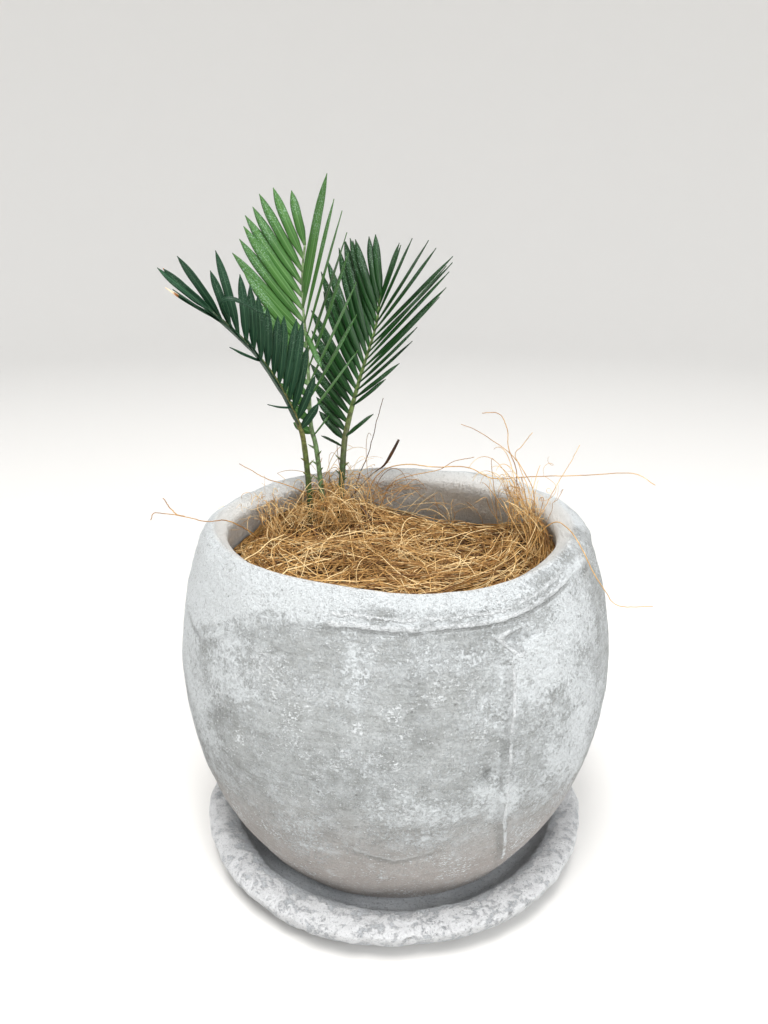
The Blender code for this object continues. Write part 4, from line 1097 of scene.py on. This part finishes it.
def blade_shape(share):
    """The width of a leaflet along it, as a share of its full width."""
    past = max(0.0, (share - BLADE_TAPER_FROM) / (1 - BLADE_TAPER_FROM))
    return min(1.0, 0.30 + 2.5 * share) * max(0.0, 1 - past * past) ** 0.9


def leaflets_of(frond, draw):
    """Side, share of the stalk, length, angle, keel, roll, width and bend of each leaflet of a frond."""
    found = []
    for row in frond["rows"]:
        first, last = row["span"]
        for number in range(row["count"]):
            share = number / (row["count"] - 1)
            angle = blend(row["angle"], share) + draw.uniform(-2, 2)
            keel = blend(row["keel"], share) + draw.uniform(-3, 3)
            length = blend(row["length"], share) * draw.uniform(0.96, 1.03)
            found.append((row["side"], first + (last - first) * share, length, angle, keel,
                          blend(row["roll"], share), blend(row["width"], share), row["bend"]))
    return found + frond["lone"]


class Leafage:
    """Collects the points, faces and material numbers of many leaflets."""

    def __init__(self):
        self.points = []
        self.faces = []
        self.values = {"across": [], "along": [], "tone": [], "dry": []}

    def add(self, centres, across, normals, widths, tone, dry):
        """One blade, arched across, with a groove along its upper side and a rib below."""
        splits = LEAFLET_SPLITS
        self.faces += tube_faces(len(self.points), len(centres), 2 * splits)
        for number, centre in enumerate(centres):
            along = number / (len(centres) - 1)
            width = widths[number]
            thick = LEAFLET_THICK / 2 * (1 - 0.5 * along)
            for corner in range(2 * splits):
                on_top = corner <= splits
                spread = corner / splits if on_top else 2 - corner / splits
                s = 2 * spread - 1
                rise = thick * math.sqrt(max(0.0, 1 - s * s)) * (1 if on_top else -1)
                rise -= thick * bell(s / 0.16) * (0.55 if on_top else 0.9)
                rise -= LEAFLET_ARCH * s * s * width
                self.points.append(centre + across[number] * (s * width / 2) + normals[number] * rise)
                for name, value in (("across", spread), ("along", along), ("tone", tone), ("dry", dry)):
                    self.values[name].append(value)


def add_leaflet(leafage, frond, line, values, shades, dry):
    """One leaflet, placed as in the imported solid, with a little sway and twist of its own."""
    side, share, length, angle, keel, roll, width, bend = values
    place, run, upper, right = stalk_frame(line, frond["faces"], share)
    angle, keel, roll = math.radians(angle), math.radians(keel), math.radians(roll)
    length, width = length * MM, width * MM
    outward = right * (side * math.cos(keel)) + upper * math.sin(keel)
    ahead = run * math.cos(angle) + outward * math.sin(angle)
    flat = outward * math.cos(angle) - run * math.sin(angle)
    facing = ahead.cross(flat)
    toward = (run - ahead * run.dot(ahead)).normalized()
    sway = shades.uniform(-0.012, 0.012)
    lean = shades.uniform(-0.02, 0.03)
    twist = math.radians(shades.uniform(-12, 12))
    centres, across, normals, widths = [], [], [], []
    for step in range(LEAFLET_STEPS + 1):
        along = 1 - (1 - step / LEAFLET_STEPS) ** LEAFLET_CROWD
        bent = toward * ((bend + sway) * length * along**2) + facing * (lean * length * along**2)
        centres.append(place + ahead * (length * along) + bent)
        tilt = roll + twist * along
        across.append(flat * math.cos(tilt) + facing * math.sin(tilt))
        normals.append(facing * math.cos(tilt) - flat * math.sin(tilt))
        widths.append(max(BLADE_TIP_W, width * blade_shape(along)))
    leafage.add(centres, across, normals, widths, shades.random(), dry)


def add_curled_leaflet(leafage):
    """A leaflet at the end of the left frond that curls over toward the viewer."""
    centres = even_line(smooth_line(in_metres(CURLED_MM), 8), LEAFLET_STEPS)
    across, normals = [], []
    for number in range(LEAFLET_STEPS + 1):
        run = (centres[min(number + 1, LEAFLET_STEPS)] - centres[max(number - 1, 0)]).normalized()
        wide = run.cross(Vector((-0.25, -0.85, 0.45))).normalized()
        across.append(wide)
        normals.append(run.cross(wide))
    widths = [blend(CURLED_WIDTH, number / LEAFLET_STEPS) * MM for number in range(LEAFLET_STEPS + 1)]
    leafage.add(centres, across, normals, widths, -0.4, 0.0)


def make_stalk(name, frond, line, look):
    """The stalk with its spines, a little flattened where it carries leaflets."""
    given = FROND_LOOKS[name]
    thick, thin = given["radius_mm"]
    points, along = [], []
    for step in range(STALK_STEPS + 1):
        share = step / STALK_STEPS
        place, _, upper, right = stalk_frame(line, frond["faces"], share)
        radius = (thick + (thin - thick) * smooth_step(0.3, 0.9, share)) * MM
        radius *= 1 + given["foot_swell"] * smooth_step(0.24, 0.10, share)
        radius *= 1 + 0.06 * rough(place, 400)
        flat = smooth_step(0.3, 0.6, share)
        for side in range(STALK_SIDES):
            turn = 2 * math.pi * side / STALK_SIDES
            ridge = 1 - 0.30 * flat * max(0.0, math.cos(turn)) ** 2 + 0.10 * flat * math.sin(turn) ** 2
            points.append(place + (upper * math.cos(turn) - right * math.sin(turn)) * (radius * ridge))
            along.append(share)
    faces = tube_faces(0, STALK_STEPS + 1, STALK_SIDES)
    for row_number, row in enumerate(frond["rows"]):
        for number, length in enumerate(SPINE_LENGTHS_MM):
            reach = (number + 0.4 * row_number) / len(SPINE_LENGTHS_MM)
            share = SPINE_SPAN[0] + (SPINE_SPAN[1] - SPINE_SPAN[0]) * reach
            faces += tube_faces(len(points), SPINE_RINGS, SPINE_SIDES)
            there = stalk_frame(line, frond["faces"], share)
            add_spine(points, along, there, share, row["side"], length * MM)
    new_piece(name + "_stalk", as_array(points), faces, look, given["slot"], [name], {"along": along})


def add_spine(points, along, there, share, side, length):
    """The points of a short thorn on the stalk: a cone, slightly hooked."""
    place, run, upper, right = there
    ahead = (right * side + run * 0.5 + upper * 0.3).normalized()
    across = ahead.cross(upper).normalized()
    other = ahead.cross(across)
    for ring in range(SPINE_RINGS):
        reach = ring / (SPINE_RINGS - 1)
        middle = place + ahead * ((STALK_R + length) * reach) + run * (0.25 * length * reach**2)
        radius = 0.6 * MM * (1 - reach) ** 0.8 + 0.05 * MM
        for corner in range(SPINE_SIDES):
            turn = 2 * math.pi * corner / SPINE_SIDES
            points.append(middle + (across * math.cos(turn) + other * math.sin(turn)) * radius)
            along.append(share + 0.15 * reach)


def leaf_look(name, given):
    """A leaflet: lines along it, a paler rib and foot, paler edges painted as lit edges, a painted sheen of
    pale specks, and a dry tip on some.
    """
    look = Look(name, given["rough"])
    look.shader.inputs["Specular IOR Level"].default_value = 0.24
    across, along, tone = [look.attribute(label) for label in ("across", "along", "tone")]
    blade = look.wired(look.new("CombineXYZ"), 0, {0: across * 14.0, 1: along * 3.0, 2: tone * 40.0})
    stripe = look.clouds(blade, 2.0, 0.5).ramp(0.35, 0.65)
    from_rib = abs(across - 0.5)
    # Painted sheen: pale specks about two thirds of the way along, for light glinting off the leaflets.
    sheen = abs(along - 0.68).ramp(0.12, 0.30, given["painted_sheen"], 0.0)
    dry = along + (look.noise(1.2, 3.0) - 0.5) * 0.16 + look.attribute("dry") * 0.36
    colour = look.layered(
        given["dark"],
        (stripe * 0.6 + tone * 0.4, given["light"]),
        (from_rib.ramp(0.02, 0.07, given["rib_share"], 0.0), given["rib"]),
        # Paler edges: a painted highlight along the edges of each leaflet.
        (from_rib.ramp(0.42, 0.49, 0.0, given["rib_share"]), given["rib"]),
        (along.ramp(0.0, 0.10, 0.6, 0.0), given["rib"]),
        (sheen * look.noise(0.4, 3.0, 0.7).ramp(0.53, 0.62), LEAF_PAINTED_SHEEN),
        (dry.ramp(1.03, 1.08), LEAF_SCORCHED),
        (dry.ramp(1.10, 1.16), LEAF_DRY))
    return look.finish(colour, stripe * 0.5 + look.noise(0.5) * 0.6, 0.05)


def stalk_look(name, colours):
    """A stalk: colours along it, stained brown in places."""
    look = Look(name, 0.45)
    dark_marks = look.noise(1.4, 4.0, 0.65).ramp(0.40, 0.62, 0.68, 0.0)
    colour = look.layered(look.colours(look.attribute("along"), colours), (dark_marks, STALK_STAIN))
    return look.finish(colour, look.noise(0.8, 3.0), 0.12)


def make_fronds():
    for seed, (name, frond) in enumerate(FRONDS.items()):
        given = FROND_LOOKS[name]
        draw = random.Random(seed + FROND_SEED)
        shades = random.Random(seed + SHADE_SEED)
        line = even_line(smooth_line(in_metres(frond["path"]), 6), 60)
        leafage = Leafage()
        for number, values in enumerate(leaflets_of(frond, draw)):
            add_leaflet(leafage, frond, line, values, shades, given["dry"].get(number, 0.0))
        if name == "frond_left":
            add_curled_leaflet(leafage)
        new_piece(name + "_leaflets", as_array(leafage.points), leafage.faces,
                  leaf_look(name + "_leaf_look", given), given["slot"], [name], leafage.values)
        make_stalk(name, frond, line, stalk_look(name + "_stalk_look", given["stalk"]))


def plain_looks():
    """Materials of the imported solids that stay: the soil and the bulb."""
    look = Look("soil_look", 1.0)
    lumps = look.noise(3, 5.0, 0.6)
    soil = look.finish(look.layered(SOIL_DARK, (lumps.ramp(0.35, 0.65), SOIL_LIGHT)), lumps, 1.0)
    look = Look("bulb_look", 0.85)
    scales = look.cells(3.5, 1.6)
    bulb = look.finish(look.layered(BULB_LIGHT, (scales.ramp(0.2, 0.7), BULB_DARK)), scales, -0.8)
    for node, material in (("soil", soil), ("caudex", bulb)):
        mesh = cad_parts[node].data
        mesh.materials.clear()
        mesh.materials.append(material)


def make_stage():
    """A pale round sweep: a floor whose edge curves up into a wall all round."""
    profile = [(0.02, 0.0), (0.6, 0.0), (STAGE_FLAT_R, 0.0)]
    for step in range(1, 13):
        turn = math.pi / 2 * step / 12
        profile.append((STAGE_FLAT_R + STAGE_BEND_R * math.sin(turn), STAGE_BEND_R * (1 - math.cos(turn))))
    profile.append((STAGE_FLAT_R + STAGE_BEND_R, STAGE_TOP_Z))
    points = turned_grid(profile, STAGE_STEPS)[0].reshape(-1, 3) - np.array((0, 0, 0.2 * MM))
    mesh = bpy.data.meshes.new("pale_floor")
    faces = tube_faces(0, len(profile), STAGE_STEPS)[:-1]
    mesh.from_pydata(points.tolist(), [], [face[::-1] for face in faces])
    mesh.shade_smooth()
    mesh.materials.append(Look("pale_floor_look", 0.9).finish(STAGE_COLOUR))
    floor = bpy.data.objects.new("pale_floor", mesh)
    bpy.context.scene.collection.objects.link(floor)


def add_light(name, place, energy, colour):
    light = bpy.data.lights.new(name, "AREA")
    light.shape = "DISK"
    light.size = 0.6
    light.energy = energy
    light.color = colour
    lamp = bpy.data.objects.new(name, light)
    lamp.location = place
    lamp.rotation_mode = "QUATERNION"
    lamp.rotation_quaternion = (LIT_PLACE - Vector(place)).to_track_quat("-Z", "Y")
    bpy.context.scene.collection.objects.link(lamp)


def make_lights():
    add_light("overhead", (-0.12, -0.42, 1.30), 16.0, (1.0, 0.985, 0.97))
    add_light("front_fill", (0.7, -1.0, 0.8), 10.0, (0.98, 0.985, 1.0))
    world = bpy.data.worlds.new("studio")
    bpy.context.scene.world = world
    world.use_nodes = True
    sky = world.node_tree.nodes["Background"]
    sky.inputs["Color"].default_value = (0.95, 0.97, 1.0, 1.0)
    sky.inputs["Strength"].default_value = 0.88
    bpy.context.scene.view_settings.view_transform = "Standard"


def make_camera():
    cos_p, sin_p = math.cos(CAMERA_PITCH), math.sin(CAMERA_PITCH)
    ahead = Vector((math.sin(CAMERA_YAW) * cos_p, math.cos(CAMERA_YAW) * cos_p, -sin_p))
    level = Vector((math.cos(CAMERA_YAW), -math.sin(CAMERA_YAW), 0))
    above = level.cross(ahead)
    right = level * math.cos(CAMERA_ROLL) + above * math.sin(CAMERA_ROLL)
    up = above * math.cos(CAMERA_ROLL) - level * math.sin(CAMERA_ROLL)
    data = bpy.data.cameras.new("camera")
    data.sensor_width = SENSOR_MM
    data.lens = CAMERA_FOCAL_PX / CAMERA_LONG_PX * SENSOR_MM
    data.clip_start = 0.01
    camera = bpy.data.objects.new("camera", data)
    camera.matrix_world = Matrix.Translation(CAMERA_PLACE) @ Matrix((right, up, -ahead)).transposed().to_4x4()
    bpy.context.scene.collection.objects.link(camera)
    bpy.context.scene.camera = camera


make_camera()
make_lights()
make_stage()
make_pot()
make_saucer()
plain_looks()
make_coir()
make_fronds()
